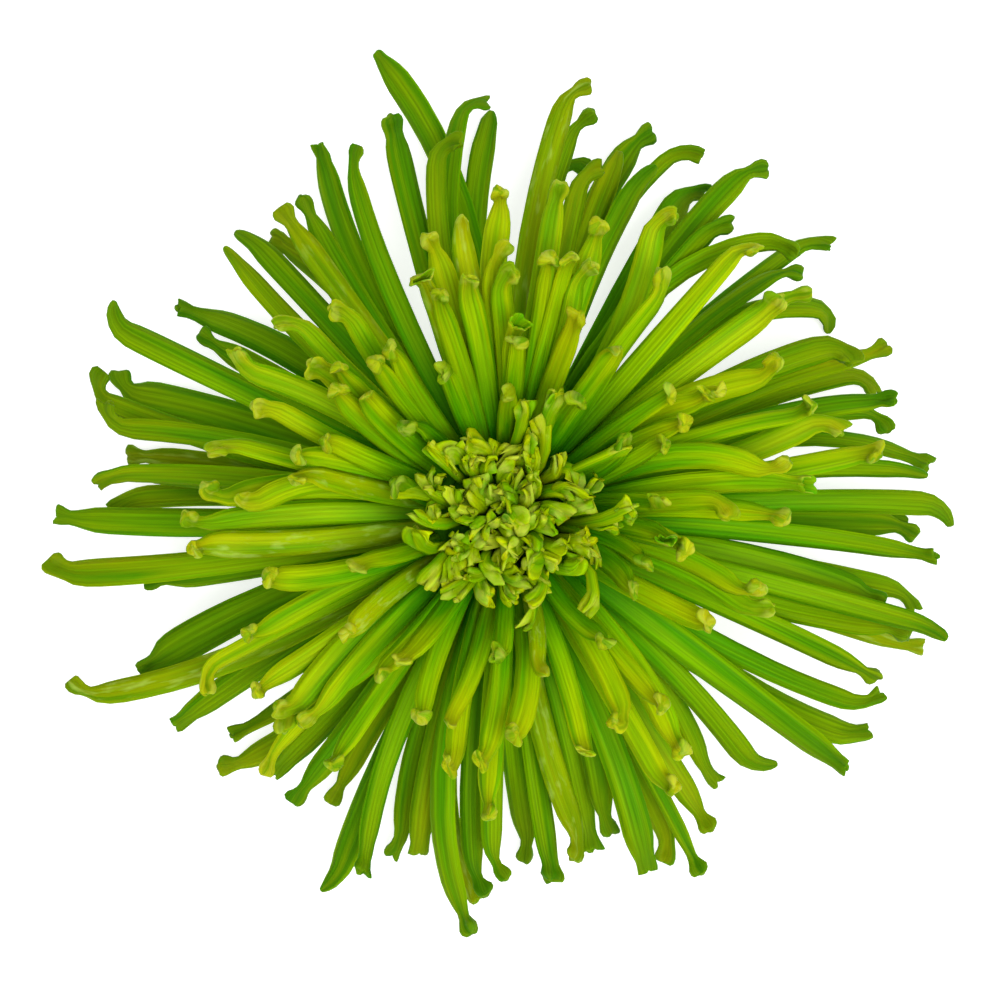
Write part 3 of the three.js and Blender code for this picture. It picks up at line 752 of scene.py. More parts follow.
# %% Model the three straight tuft florets
TUFT_LENGTH = 6 * MM
TUFT_LIP = 2.8 * MM  # length of the lip, which stays as it is on a longer floret
BELL = (
    (0, 1.3, 0.9), (1.4, 1.5, 0.86), (2.6, 1.8, 0.8), (3.4, 2.2, 0.72), (4.0, 2.6, 0.66),
    (4.6, 2.9, 0.6), (5.1, 3.1, 0.55), (5.6, 3.2, 0.5), (5.9, 3.2, 0.46), (6, 3.0, 0.42),
    (5.8, 2.7, 0.36), (5.3, 2.3, 0.3), (4.7, 1.8, 0.28), (4.0, 1.2, 0.28),
)
TOOTHED = (
    (0, 1.3, 0.9), (1.4, 1.6, 0.8), (2.6, 1.9, 0.68), (3.4, 2.1, 0.6), (4.0, 2.25, 0.54),
    (4.6, 2.3, 0.5), (5.1, 2.3, 0.47), (5.5, 2.2, 0.44), (5.8, 1.9, 0.42), (5.95, 1.4, 0.42),
)
HOOD = (
    (0, 1.3, 0.9), (1.4, 1.6, 0.86), (2.6, 1.9, 0.8), (3.4, 2.25, 0.74), (4.0, 2.5, 0.7),
    (4.5, 2.65, 0.68), (5, 2.6, 0.68), (5.4, 2.35, 0.68), (5.7, 1.9, 0.68), (5.9, 1.3, 0.68),
)
TUFT_SIDES = 36


def straight_tuft_floret(name, rings, lobes, turn, reach, wide):
    """A straight tuft floret along X from its rings, with its lip torn into lobes."""
    stations = [(x * MM, width * MM, flat) for x, width, flat in rings]
    floret = start_ring(name, TUFT_SIDES, stations[0][1], stations[0][2])
    extrude_rings(stations)
    ruffle(3.9 * MM, 0.5, lobes, turn, reach * MM, wide)
    leave_edit_mode()
    give_finishes(floret, tuft_skin)
    print(f"{name}: {len(floret.data.polygons)} faces, {floret.dimensions.x / MM:.1f} mm long")
    return floret


STRAIGHT_TUFTS = (
    straight_tuft_floret("bell_tuft_floret", BELL, 5, 0.7, 1.5, 0.45),
    straight_tuft_floret("toothed_tuft_floret", TOOTHED, 4, 0.3, 1.3, 0.4),
    straight_tuft_floret("hooded_tuft_floret", HOOD, 4, 1.2, 0.8, 0.3),
)

# %% [markdown]
# They stand on the crown in a spiral, each one a golden angle on from the last, as seeds do. Those at
# the edge lean out and are longer. Past its middle each one nods over to one side, and its lip is
# squeezed and crumpled, all by draws.

# %% Lay the tuft florets on the crown
CENTRE_COUNT = 60
# tips of the loose ones that hang out of the tuft, in mm from the axis
LOOSE = [
    [1, 15], [9, 12], [4, 11], [-3, 12], [9, 16], [15, 11], [13, 3], [15, 0], [14, -3], [8, -11],
    [-1, -12], [-5, -11], [17, -8], [20, -3], [-8, -11], [-12, -7], [-14, 3], [-11, 9], [5, -14],
]
CROWN_BOTTOM, CROWN_RADIUS = 24.9 * MM, 8.6 * MM
GOLDEN = math.radians(137.508)
NOD_FROM = 0.45  # the share of its length past which a floret nods
CURL = 14  # how much steeper a floret gets along its length, in degrees
CENTRE_LENGTHS = (5.2 * MM, 7.8 * MM)  # least and most
CENTRE_LONGER = (1, 1.3)  # how much longer they are in the middle and at the edge
CENTRE_HEIGHTS = (26.6 * MM, 26.1 * MM)  # where they start in the middle and at the edge
CENTRE_STEEP = (84, 38)  # their slope there, in degrees
CENTRE_NODS = (20, 110)  # least and most, in degrees, and half of it at the edge
LOOSE_STEEP, LOOSE_NODS = (28, 48), (10, 80)
SPIRAL_INSET, LOOSE_INSET = 1.2 * MM, 2.2 * MM  # how far inside the crown's edge the outermost start
OVAL, FORWARD = 0.2, 0.1  # how much longer they are at both sides, and at the front
LOOSE_RISE = 1.4 * MM  # how far above the crown's bottom the loose ones start
LOOSE_SLACK, LOOSE_EXTRA = 1.15, 2 * MM  # their length is the way out times the first, plus the second
TUFT_CRUMPLE, TUFT_FOLD = 0.34 * MM, 0.55 * MM
LIP_FROM, LIP_OVER = 0.5, 0.4  # shares of the length: where the lip sets in, and over how much
LIP_WIDTHS, LIP_THICKS = (0.85, 1.15), (0.7, 1.4)  # least and most, as shares of the straight one's
SPIRAL_ENDS, LOOSE_ENDS = (0.4, 0.4, 0.2), (0, 0.5, 0.5)  # shares of the three kinds, in their order
SPIRAL_SIZES, LOOSE_SIZES = (1.0, 1.5), (0.85, 1.15)  # least and most width over the straight one's
LOOSE_LIP = 1.3 * TUFT_LIP


def nodding_path(i, bearing, radius, height, length, steep, nod, aside):
    """The path of a floret that leans out at its bearing, then nods down and turns aside."""
    start = np.array([radius * math.cos(bearing), radius * math.sin(bearing), height])

    def past(s):
        return np.maximum(s / length - NOD_FROM, 0) / (1 - NOD_FROM)

    def heading(s):
        return bearing + math.radians(spread(i, 14, 60)) * s / length + aside * past(s)

    def slope(s):
        return steep + math.radians(CURL) * s / length - nod * past(s)

    return Path(start, length, heading, slope)


def centre_path(i):
    """The path of floret i of the spiral. The tuft is a little wider from side to side."""
    share = (i + 0.5) / CENTRE_COUNT
    bearing = i * GOLDEN + math.radians(spread(i, 11, 16))
    longer = 1 + OVAL * math.cos(2 * bearing) - FORWARD * math.sin(bearing)
    length = mix(*CENTRE_LENGTHS, draw(i, 12)) * mix(*CENTRE_LONGER, share) * longer
    radius = (CROWN_RADIUS - SPIRAL_INSET) * math.sqrt(share)
    height = mix(*CENTRE_HEIGHTS, share * share)
    steep = math.radians(mix(*CENTRE_STEEP, share) + spread(i, 13, 10))
    nod = math.radians(mix(*CENTRE_NODS, draw(i, 61)) * mix(1, 0.5, share))
    aside = math.radians(spread(i, 62, 150))
    return nodding_path(i, bearing, radius, height, length, steep, nod, aside)


def loose_path(i, tip_x, tip_y):
    """The path of a floret that hangs out of the tuft over the inner ray florets."""
    radius = CROWN_RADIUS - LOOSE_INSET
    length = LOOSE_SLACK * (math.hypot(tip_x, tip_y) * MM - radius) + LOOSE_EXTRA
    steep = math.radians(mix(*LOOSE_STEEP, draw(i, 64)))
    nod = math.radians(mix(*LOOSE_NODS, draw(i, 65)))
    aside = math.radians(spread(i, 66, 90))
    height = CROWN_BOTTOM + LOOSE_RISE
    return nodding_path(i, math.atan2(tip_y, tip_x), radius, height, length, steep, nod, aside)


def lay_tuft_floret(i, path, shares, sizes, lip_length):
    """One tuft floret along its path, with its lip squeezed, turned and crumpled by draws.

    shares are those of the three kinds in their order above, sizes the least and the most width as a
    share of the straight one's."""
    straight = pick(STRAIGHT_TUFTS, shares, draw(i, 19))
    x, y, z = read_vectors(straight.data.vertices, "co", len(straight.data.vertices)).T
    stem = TUFT_LENGTH - TUFT_LIP
    lip_start = path.s[-1] - lip_length
    s = np.where(x < stem, x * lip_start / stem, lip_start + (x - stem) * lip_length / TUFT_LIP)
    lip = np.clip((x / TUFT_LENGTH - LIP_FROM) / LIP_OVER, 0, 1)
    crumple = crumpled(i, x, y, TUFT_FOLD, TUFT_CRUMPLE * lip)
    size = mix(*sizes, draw(i, 16))
    y = y * size * mix(1, mix(*LIP_WIDTHS, draw(i, 17)), lip) + crumple
    z = z * size * mix(1, mix(*LIP_THICKS, draw(i, 15)), lip) + crumple
    turn = FULL_TURN * draw(i, 18) + math.radians(spread(i, 20, 90)) * x / TUFT_LENGTH
    across, up_by = rolled(y, z, turn)
    return lay(straight, i, path, s, across, up_by, draw(i, 33), draw(i, 34) ** 2)


tuft_florets = [
    lay_tuft_floret(i, centre_path(i), SPIRAL_ENDS, SPIRAL_SIZES, TUFT_LIP)
    for i in range(CENTRE_COUNT)
]
for i, row in enumerate(LOOSE, start=CENTRE_COUNT):
    loose = lay_tuft_floret(i, loose_path(i, *row), LOOSE_ENDS, LOOSE_SIZES, LOOSE_LIP)
    tuft_florets.append(loose)
print(len(tuft_florets), "tuft florets laid")
CROWN_RINGS = ((7.4, 24.9), (8.6, 25.3), (8.4, 26), (6.6, 26.9), (3.4, 27.5))
crown = turned("crown", CROWN_RINGS, receptacle_skin)
centre_piece = join("centre_tuft", [*tuft_florets, crown])
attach(centre_piece, "root")
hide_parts("centre_florets")

# %% Clear the straight florets away
for straight in (*STRAIGHT_RAYS, *STRAIGHT_TUFTS):
    bpy.data.objects.remove(straight)

# %% [markdown]
# ## Nodes in one line
#
# A finish is a small graph of nodes. One function adds a node, sets it and links it, so that each
# finish below reads from top to bottom as a recipe. Colours are written as the hex values of sRGB, as
# a painter would pick them, and are turned to linear light by one function.
#
# Three steps come back in every recipe and have names of their own: to begin with an empty graph, to
# draw a noise out into streaks, and to end with the shader.

# %% Add a node, and turn a colour to linear
FINE_RELIEF = 0.2 * MM  # height of the bumps from veins and fibres


def linear(code):
    """A hex colour of sRGB as linear red, green and blue, and an alpha of 1."""
    parts = [int(code[k : k + 2], 16) / 255 for k in (1, 3, 5)]
    return (*[c / 12.92 if c <= 0.04045 else ((c + 0.055) / 1.055) ** 2.4 for c in parts], 1)


def add_node(finish, kind, links=None, output=0, stops=(), **settings):
    """Adds a node to a finish and gives back one of its outputs.

    links gives each input its value, its colour in hex or the output that feeds it, and stops the
    places and colours of a ramp."""
    node = finish.node_tree.nodes.new("ShaderNode" + kind)
    for name, value in settings.items():
        setattr(node, name, value)
    for socket, source in (links or {}).items():
        if isinstance(source, bpy.types.NodeSocket):
            finish.node_tree.links.new(source, node.inputs[socket])
        else:
            node.inputs[socket].default_value = linear(source) if isinstance(source, str) else source
    if stops:
        ramp = node.color_ramp.elements
        while len(ramp) < len(stops):
            ramp.new(0.5)
        for element, (place, colour) in zip(ramp, stops):
            element.position = place
            element.color = linear(colour)
    return node.outputs[output] if len(node.outputs) else None


def begin(finish):
    """Gives a finish an empty graph."""
    finish.use_nodes = True
    finish.node_tree.nodes.clear()


def streaky_noise(finish, place, stretch, scale=1.0, detail=3.0):
    """Noise over the place, drawn out along a direction where its stretch is small."""
    space = add_node(finish, "Mapping", {0: place, "Scale": stretch})
    return add_node(finish, "TexNoise", {"Vector": space, "Scale": scale, "Detail": detail})


def end_with(finish, links):
    """Ends a finish with its shader, which gets the given inputs."""
    shader = add_node(finish, "BsdfPrincipled", links)
    add_node(finish, "OutputMaterial", {"Surface": shader})


# %% [markdown]
# ## Petal skin
#
# The florets are living petal: a thin, waxy skin over watery cells, lit partly from inside. To the eye
# that is a soft, broad shine, and colour that glows where light passes through, which is also painted as
# lighter folded edges. It is deep green at the foot, where the cells are young, and darker still there and
# near the axis as painted shade, and it bleaches to yellow green at the tip, where soft pale patches are
# painted highlights. Florets on the lamp's side are painted yellower and lighter. Pale lines run on the
# ribs and darker ones in the grooves, veins together with painted light and painted shade, and some
# florets have dull yellow streaks where they have aged.
#
# The points of each floret carry what the finish needs to know: how far along it they lie, whether on a
# rib, how near the fold, how far from the axis, the floret's tone, drawn and partly painted light on the
# lamp's side, its drawn tinge, and a place on the floret as it was before it was bent, in millimetres
# along it and in half widths round it.

# %% Petal skin
# the first colour, at the foot, is deep green for the young cells and is deepened further as painted shade
# among the crowded feet; on the tuft it is nearly black, painted shade in its deep gaps
PETAL_STOPS = (0.0, 0.4, 0.88, 0.97)  # where a petal's four colours lie, as shares of its length
PETAL_VALUES = ("along", "rib", "edge", "out", "tone", "tinge")
YOUNG_AND_SHADED_REACH = 26  # how far from the axis the ray florets' skin is greener and darker, in mm: partly young cells, partly painted shade


def tint(finish, colour, share, low, high="#FFFFFF"):
    """The colour multiplied by another one, which goes from low to high with the share."""
    other = add_node(finish, "Mix", {0: share, 6: low, 7: high}, 2, data_type="RGBA")
    links = {0: 1.0, 6: colour, 7: other}
    return add_node(finish, "Mix", links, 2, data_type="RGBA", blend_type="MULTIPLY")


def petal(finish, colours, roughness, young_and_shaded, highlight_share=0.0, highlight_from=0.5):
    """A petal finish from its colours at the foot, at two places along the middle and at the tip.

    The reach is how far from the axis, in mm, the skin is still greener and darker, partly from young
    cells and partly as painted shade. The number after it is how strong the painted highlights are, soft
    pale patches past the last number, a share of its length."""
    begin(finish)
    along, rib, edge, out, tone, tinge = (
        add_node(finish, "Attribute", output="Fac", attribute_name=name) for name in PETAL_VALUES
    )
    rest = add_node(finish, "Attribute", output="Vector", attribute_name="rest")
    base = add_node(finish, "ValToRGB", {0: along}, stops=list(zip(PETAL_STOPS, colours)))

    # veins: streaks a quarter of a millimetre wide round the tube and 12 mm long along it, plus painted
    # light on the ribs and painted shade in the grooves
    streaks = streaky_noise(finish, rest, (0.05, 4.6, 4.6), 1.6)
    # painted light and shade: points on a rib are made lighter, and those in a groove darker
    lines = add_node(finish, "Math", {0: rib, 1: 0.2, 2: streaks}, operation="MULTIPLY_ADD")
    line_range = {"From Min": 0.38, "From Max": 0.82, "To Min": 0.73, "To Max": 1.15}
    line_light = add_node(finish, "MapRange", {"Value": lines, **line_range})
    # painted light: the folded edges are made lighter, as if their thin skin let light through
    edge_by = add_node(finish, "Math", {0: edge}, operation="ABSOLUTE")
    edge_range = {"From Min": 0.8, "From Max": 0.98, "To Min": 1.0, "To Max": 1.16}
    edge_light = add_node(finish, "MapRange", {"Value": edge_by, **edge_range})
    light = add_node(finish, "Math", {0: line_light, 1: edge_light}, operation="MULTIPLY")

    # each floret's tone, from a deeper green to a yellower and lighter one: partly its own drawn tone,
    # partly painted light on the lamp's side
    toned = tint(finish, base, tone, "#DAE8B0", "#F2F8B4")
    # young cells and painted shade: nearer the axis the skin is tinted a darker green
    young_and_shaded_range = {"From Min": 0.4 * young_and_shaded, "From Max": young_and_shaded}
    grown_and_lit = add_node(finish, "MapRange", {"Value": out, **young_and_shaded_range})
    greener_near_axis = tint(finish, toned, grown_and_lit, "#78CA7C")
    # bands some 2 mm wide and 30 mm long, from a deeper green to the full colour
    bands = streaky_noise(finish, rest, (0.035, 0.9, 0.9), detail=1.0)
    band_here = add_node(finish, "MapRange", {"Value": bands, "From Min": 0.36, "From Max": 0.6})
    banded = tint(finish, greener_near_axis, band_here, "#B0E29A")
    lined = add_node(finish, "VectorMath", {0: banded, "Scale": light}, operation="SCALE")

    # dull yellow streaks of age, 14 mm long and 2 mm wide
    patches = streaky_noise(finish, rest, (0.07, 0.8, 0.8))
    aged = add_node(finish, "Math", {0: tinge, 1: patches}, operation="MULTIPLY")
    aged_range = {"From Min": 0.2, "From Max": 0.6, "To Max": 0.36}
    aged_here = add_node(finish, "MapRange", {"Value": aged, **aged_range})
    with_age = add_node(finish, "Mix", {0: aged_here, 6: lined, 7: "#A09A00"}, 2, data_type="RGBA")
    # on a few florets bleached patches, 4 mm long and 1 mm wide
    worn = streaky_noise(finish, rest, (0.25, 1.4, 1.4))
    worn_range = {"From Min": 0.54, "From Max": 0.74, "To Max": 0.5}
    worn_here = add_node(finish, "MapRange", {"Value": worn, **worn_range})
    few = add_node(finish, "MapRange", {"Value": tinge, "From Min": 0.88, "From Max": 0.92})
    bleach = add_node(finish, "Math", {0: worn_here, 1: few}, operation="MULTIPLY")
    bleached = add_node(finish, "Mix", {0: bleach, 6: with_age, 7: "#A8C456"}, 2, data_type="RGBA")
    # painted highlights: soft pale patches 2 mm across, towards the end of the floret
    soft = streaky_noise(finish, rest, (0.5, 0.8, 0.8), detail=2.0)
    soft_range = {"From Min": 0.48, "From Max": 0.66, "To Max": highlight_share}
    soft_here = add_node(finish, "MapRange", {"Value": soft, **soft_range})
    far_range = {"From Min": highlight_from, "From Max": mix(highlight_from, 1, 0.4)}
    far_along = add_node(finish, "MapRange", {"Value": along, **far_range})
    painted_highlight = add_node(finish, "Math", {0: soft_here, 1: far_along}, operation="MULTIPLY")
    colour = add_node(finish, "Mix", {0: painted_highlight, 6: bleached, 7: "#BEC450"}, 2, data_type="RGBA")

    bump = add_node(finish, "Bump", {"Height": streaks, "Strength": 0.35, "Distance": FINE_RELIEF})
    end_with(finish, {
        "Base Color": colour, "Roughness": roughness, "IOR": 1.42, "Normal": bump,
        "Subsurface Weight": 0.25, "Subsurface Radius": (0.4, 1.0, 0.12),
        "Subsurface Scale": 1.2 * MM, "Specular IOR Level": 0.03,
    })


# painted shade: the rim florets get darker colours than the inner ones, as they lie low under them
SHADED_RIM_COLOURS = ("#148400", "#78AA00", "#749200", "#628206")
INNER_COLOURS = ("#148400", "#92BC00", "#A6B802", "#A2A612")
TUFT_COLOURS = ("#0C3400", "#82A000", "#A8B400", "#B0B208")
# painted shade: the inside of a mouth gets darker colours than the skin
SHADED_THROAT_COLOURS = ("#2C6E00", "#4A8800", "#5C9600", "#7CA404")
petal(rim_skin_shaded, SHADED_RIM_COLOURS, 0.5, YOUNG_AND_SHADED_REACH)
petal(petal_skin, INNER_COLOURS, 0.5, YOUNG_AND_SHADED_REACH, highlight_share=0.28, highlight_from=0.95)
petal(tuft_skin, TUFT_COLOURS, 0.5, 1, highlight_share=0.36)
petal(petal_throat, SHADED_THROAT_COLOURS, 0.6, YOUNG_AND_SHADED_REACH)
print("nodes in a petal finish:", len(rim_skin_shaded.node_tree.nodes))

# %% [markdown]
# The receptacle is the waxy green flesh that the florets stand on. It gets no light between their
# feet, so a deep green, mottled every millimetre or so, is all the eye can see of it.

# %% Waxy receptacle
begin(receptacle_skin)
at_object = add_node(receptacle_skin, "TexCoord", output="Object")
mottle = add_node(receptacle_skin, "TexNoise", {"Vector": at_object, "Scale": 900.0, "Detail": 2.0})
flesh = add_node(receptacle_skin, "ValToRGB", {0: mottle}, stops=[(0.35, "#1A4400"), (0.7, "#2E6000")])
end_with(receptacle_skin, {
    "Base Color": flesh, "Roughness": 0.6, "IOR": 1.42, "Specular IOR Level": 0.03,
})

# %% [markdown]
# ## Bracts
#
# The cup under the head is made of bracts, small leathery scales in three overlapping rows with a thin
# dry edge. One scale could be a bent plane, but its keel and dry edge need points of their own. So a
# grid is drawn to a pointed scale row by row in edit mode, its keel is pushed out, and Solidify and
# Subdivision Surface give it thickness and a soft edge. Then it is copied round the cup and laid on it:
# how far a point lies along the scale becomes how far up the cup it lies.

# %% Model one bract
BRACT_LENGTH = 6.4 * MM
BRACT_WIDTH = 5.4 * MM
BRACT_THICK = 0.45 * MM
BRACT_ROWS = 12
BRACT_OUTLINE = {0: 0.62, 0.3: 0.9, 0.55: 1.0, 0.8: 0.7, 0.95: 0.3, 1: 0.14}  # width by share of length
BRACT_BOW = 0.3 * MM  # how far its middle stands out
KEEL_HALF, KEEL_HEIGHT = 0.2 * MM, 0.25 * MM
EDGE_FROM, EDGE_BEND = 0.6, 0.3 * MM  # past this share of its half width it bends in by that


def bract_half_width(x):
    """Half the width of the bract at the place x along it."""
    shares = np.interp(x / BRACT_LENGTH, list(BRACT_OUTLINE), list(BRACT_OUTLINE.values()))
    return shares * BRACT_WIDTH / 2


bpy.ops.mesh.primitive_grid_add(x_subdivisions=BRACT_ROWS, y_subdivisions=8, size=1)
bract = bpy.context.object
bract.name = "straight_bract"
bpy.ops.object.mode_set(mode="EDIT")
bpy.ops.mesh.select_all(action="SELECT")
bpy.ops.transform.translate(value=(0.5, 0, 0))
bpy.ops.transform.resize(value=(BRACT_LENGTH, BRACT_WIDTH, 1), center_override=(0, 0, 0))
for row in range(BRACT_ROWS + 1):
    x = BRACT_LENGTH * row / BRACT_ROWS
    select_where(lambda place: abs(place.x - x) < TOUCHING)
    narrow = float(bract_half_width(x)) / (BRACT_WIDTH / 2)
    bpy.ops.transform.resize(value=(1, narrow, 1), center_override=(0, 0, 0))
    bow = BRACT_BOW * math.sin(math.pi * row / BRACT_ROWS)
    bpy.ops.transform.translate(value=(0, 0, -bow))
# the keel stands out along the back, and both edges bend towards the cup
select_where(lambda place: abs(place.y) < KEEL_HALF)
bpy.ops.transform.translate(value=(0, 0, -KEEL_HEIGHT))
select_where(lambda place: abs(place.y) > EDGE_FROM * bract_half_width(place.x))
bpy.ops.transform.translate(value=(0, 0, EDGE_BEND))
leave_edit_mode()
bpy.ops.object.modifier_add(type="SOLIDIFY")
bract.modifiers[0].thickness = BRACT_THICK
bract.modifiers[0].offset = 0
bpy.ops.object.modifier_apply(modifier=bract.modifiers[0].name)
bpy.ops.object.modifier_add(type="SUBSURF")
bract.modifiers[0].levels = bract.modifiers[0].render_levels = 1
bpy.ops.object.modifier_apply(modifier=bract.modifiers[0].name)
bract.data.materials.append(bract_skin)
print(f"one bract: {len(bract.data.polygons)} faces, {bract.dimensions.x / MM:.1f} mm long")

# %% Copy the bract round the cup
CUP_RINGS = ((3.6, 5.3), (7.4, 6.4), (9.2, 7.6), (10.3, 9), (10.7, 10.6), (10.8, 12))
PER_ROW = 9
ROW_STARTS = (1.2, 3.4, 5.4)  # how far up the cup each row of bracts starts, in mm
ROW_LIFTS = (0.75, 0.5, 0.25)  # how far each row's bracts stand off the cup, in mm
CUP_PROFILE = np.array([*CUP_RINGS, (10.9, 13.4)]) * MM
CUP_REACH = np.concatenate([[0], np.cumsum(np.hypot(*np.diff(CUP_PROFILE, axis=0).T))])
BRACT_SIZES = (0.94, 1.04)  # least and most
TIP_CURLS = (-0.1 * MM, 0.7 * MM)  # least and most distance of a tip from where it would lie flat
SLOPE_STEP = 0.5 * MM  # the cup's slope at a place is taken between this far before and after it
FOOT_LIFT = 0.3  # share of its row's lift that a bract has at its foot
LEAST_HALF = 0.1 * MM  # half width that its point still counts as having
BRACT_APART = 5  # how far the pattern is moved on from one bract to the next


def up_the_cup(s):
    """Radius and height on the cup's outside at the arc length s from its lower edge."""
    return np.interp(s, CUP_REACH, CUP_PROFILE[:, 0]), np.interp(s, CUP_REACH, CUP_PROFILE[:, 1])


def lay_bract(row, k):
    """A bract on the cup, with its own small turn, curl and size."""
    i = row * PER_ROW + k
    bearing = (k + row / 2) * 2 * math.pi / PER_ROW + math.radians(spread(i, 72, 4))
    piece = bract.copy()
    piece.data = bract.data.copy()
    bpy.context.scene.collection.objects.link(piece)
    mesh = piece.data
    count = len(mesh.vertices)
    x, y, z = read_vectors(mesh.vertices, "co", count).T
    half = np.maximum(bract_half_width(x), LEAST_HALF)
    add_values(mesh, "along", np.clip(x / BRACT_LENGTH, 0, 1))
    add_values(mesh, "edge", np.clip(np.abs(y) / half, 0, 1.2))
    add_values(mesh, "rest", np.stack([x / MM, y / MM + BRACT_APART * i, z / MM], axis=1))
    size = mix(*BRACT_SIZES, draw(i, 73))
    curl = mix(*TIP_CURLS, draw(i, 74)) * (x / BRACT_LENGTH) ** 3
    s = x * size + ROW_STARTS[row] * MM
    radius, height = up_the_cup(s)
    ahead_radius, ahead_height = up_the_cup(s + SLOPE_STEP)
    behind_radius, behind_height = up_the_cup(s - SLOPE_STEP)
    slope = np.arctan2(ahead_height - behind_height, ahead_radius - behind_radius)
    off = ROW_LIFTS[row] * MM * np.minimum(1, FOOT_LIFT + x / BRACT_LENGTH) + curl - z
    outward = radius + off * np.sin(slope)
    height = height - off * np.cos(slope)
    turn = bearing + (y * size + spread(i, 71, 0.1) * x) / radius
    places = (outward * np.cos(turn) + AXIS.x, outward * np.sin(turn) + AXIS.y, height)
    placed = np.stack(places, axis=1)
    mesh.vertices.foreach_set("co", placed.ravel())
    mesh.update()
    return piece


bracts = [lay_bract(row, k) for row in range(len(ROW_STARTS)) for k in range(PER_ROW)]
cup = turned("cup", CUP_RINGS, stalk_skin)
bract_piece = join("bract_cup", [*bracts, cup])
bpy.data.objects.remove(bract)
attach(bract_piece, "root")
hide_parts("bracts")

# %% [markdown]
# ## The finish of a bract
#
# A bract is a small stiff leaf: dull, leathery, dark green along the keel with fine veins, and dry and
# papery along its edge, where it has turned light brown.

# %% Leathery bract
begin(bract_skin)
bract_along, bract_edge = (
    add_node(bract_skin, "Attribute", output="Fac", attribute_name=name) for name in ("along", "edge")
)
bract_rest = add_node(bract_skin, "Attribute", output="Vector", attribute_name="rest")
bract_base = add_node(
    bract_skin, "ValToRGB", {0: bract_along}, stops=[(0.0, "#5E8A1E"), (0.5, "#43741A"), (1.0, "#2F5C14")]
)
# veins 0.4 mm apart and 3 mm long
veins = streaky_noise(bract_skin, bract_rest, (0.25, 2.0, 2.0), 1.2)
VEIN_RANGE = {"From Min": 0.3, "From Max": 0.7, "To Min": 0.75, "To Max": 1.3}
vein_light = add_node(bract_skin, "MapRange", {"Value": veins, **VEIN_RANGE})
veined = add_node(bract_skin, "VectorMath", {0: bract_base, "Scale": vein_light}, operation="SCALE")
# the dry edge, ragged by the same noise
ragged = add_node(bract_skin, "Math", {0: veins, 1: 0.35, 2: bract_edge}, operation="MULTIPLY_ADD")
dry_here = add_node(bract_skin, "MapRange", {"Value": ragged, "From Min": 0.92, "From Max": 1.12})
bract_colour = add_node(
    bract_skin, "Mix", {0: dry_here, 6: veined, 7: "#A08C5A"}, 2, data_type="RGBA"
)
bract_bump = add_node(bract_skin, "Bump", {"Height": veins, "Strength": 0.5, "Distance": FINE_RELIEF})
end_with(bract_skin, {
    "Base Color": bract_colour, "Roughness": 0.6, "IOR": 1.45, "Normal": bract_bump,
    "Specular IOR Level": 0.35,
})

# %% [markdown]
# ## The cut stalk
#
# Five millimetres of stalk are left under the cup. It has six soft ribs, and the knife has left a flat
# face on which the head stands: a green rind, a ring of pale wood and a spongy pith that has shrunk a
# little below them. The stalk is a circle with its ribs drawn out and then extruded upwards, and the
# cut face is drawn in for its rings.

# %% Model the stalk
STALK_RADIUS = 3.2 * MM
STALK_SIDES = 72
STALK_RIBS = 6
RIB_LEVELS, RIB_STEP = (-0.7, -0.3, 0.1, 0.5, 0.8), 1.035  # a rib is drawn out in steps, each by that
RIBBED_SIZE = 0.93  # the whole then shrinks by this, so that its radius lies between ribs and grooves
# each next ring as (rise in mm, width as a share of the last one's)
STALK_RINGS = ((0.15, 1.04), (1.35, 0.99), (1.5, 0.99), (1.2, 1.02), (0.8, 1.05))
CUT_RINGS = ((0, 0.9), (0, 0.82), (0.3, 0.92))  # inside the rind, inside the wood, and the sunken pith
bpy.ops.mesh.primitive_circle_add(vertices=STALK_SIDES, radius=STALK_RADIUS, fill_type="NGON")
stalk = bpy.context.object
stalk.name = "ribbed_stalk"
bpy.ops.object.mode_set(mode="EDIT")


def rib_wave(place):
    """1 on the top of a rib and -1 in the middle between two."""
    return math.cos(STALK_RIBS * math.atan2(place.y, place.x))


def extrude_up(rings):
    """Extrudes what is selected up through the rings, each (rise in mm, width over the last one's)."""
    for rise, wider in rings:
        bpy.ops.mesh.extrude_region_move(TRANSFORM_OT_translate={"value": (0, 0, rise * MM)})
        bpy.ops.transform.resize(value=(wider, wider, 1), center_override=(0, 0, 0))


for level in RIB_LEVELS:
    select_where(lambda place: rib_wave(place) > level)
    bpy.ops.transform.resize(value=(RIB_STEP, RIB_STEP, 1), center_override=(0, 0, 0))
bpy.ops.mesh.select_all(action="SELECT")
bpy.ops.transform.resize(value=(RIBBED_SIZE, RIBBED_SIZE, 1), center_override=(0, 0, 0))
extrude_up(STALK_RINGS)
bpy.ops.mesh.select_all(action="DESELECT")
bpy.context.tool_settings.mesh_select_mode = (False, False, True)
cut_face = bmesh.from_edit_mesh(stalk.data)
for face in cut_face.faces:
    face.select_set(face.calc_center_median().z < TOUCHING)
bmesh.update_edit_mesh(stalk.data)
extrude_up(CUT_RINGS)
bpy.context.tool_settings.mesh_select_mode = (True, False, False)
bpy.ops.mesh.select_all(action="SELECT")
bpy.ops.transform.translate(value=AXIS)
leave_edit_mode()
stalk.data.materials.append(stalk_skin)
stalk_piece = join("ribbed_stalk", [stalk])
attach(stalk_piece, "root")
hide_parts("cut_stalk")

# %% [markdown]
# The rind is fibrous: dull green with lighter streaks along the ribs. The cut face is pale, from green
# at the rind to nearly white at the pith. How far a point lies from the stalk's axis tells them apart.

# %% Fibrous stalk
CUT_RADIUS = 3.5 * MM  # the stops of the cut face's colours are shares of this
begin(stalk_skin)
stalk_place = add_node(stalk_skin, "TexCoord", output="Object")
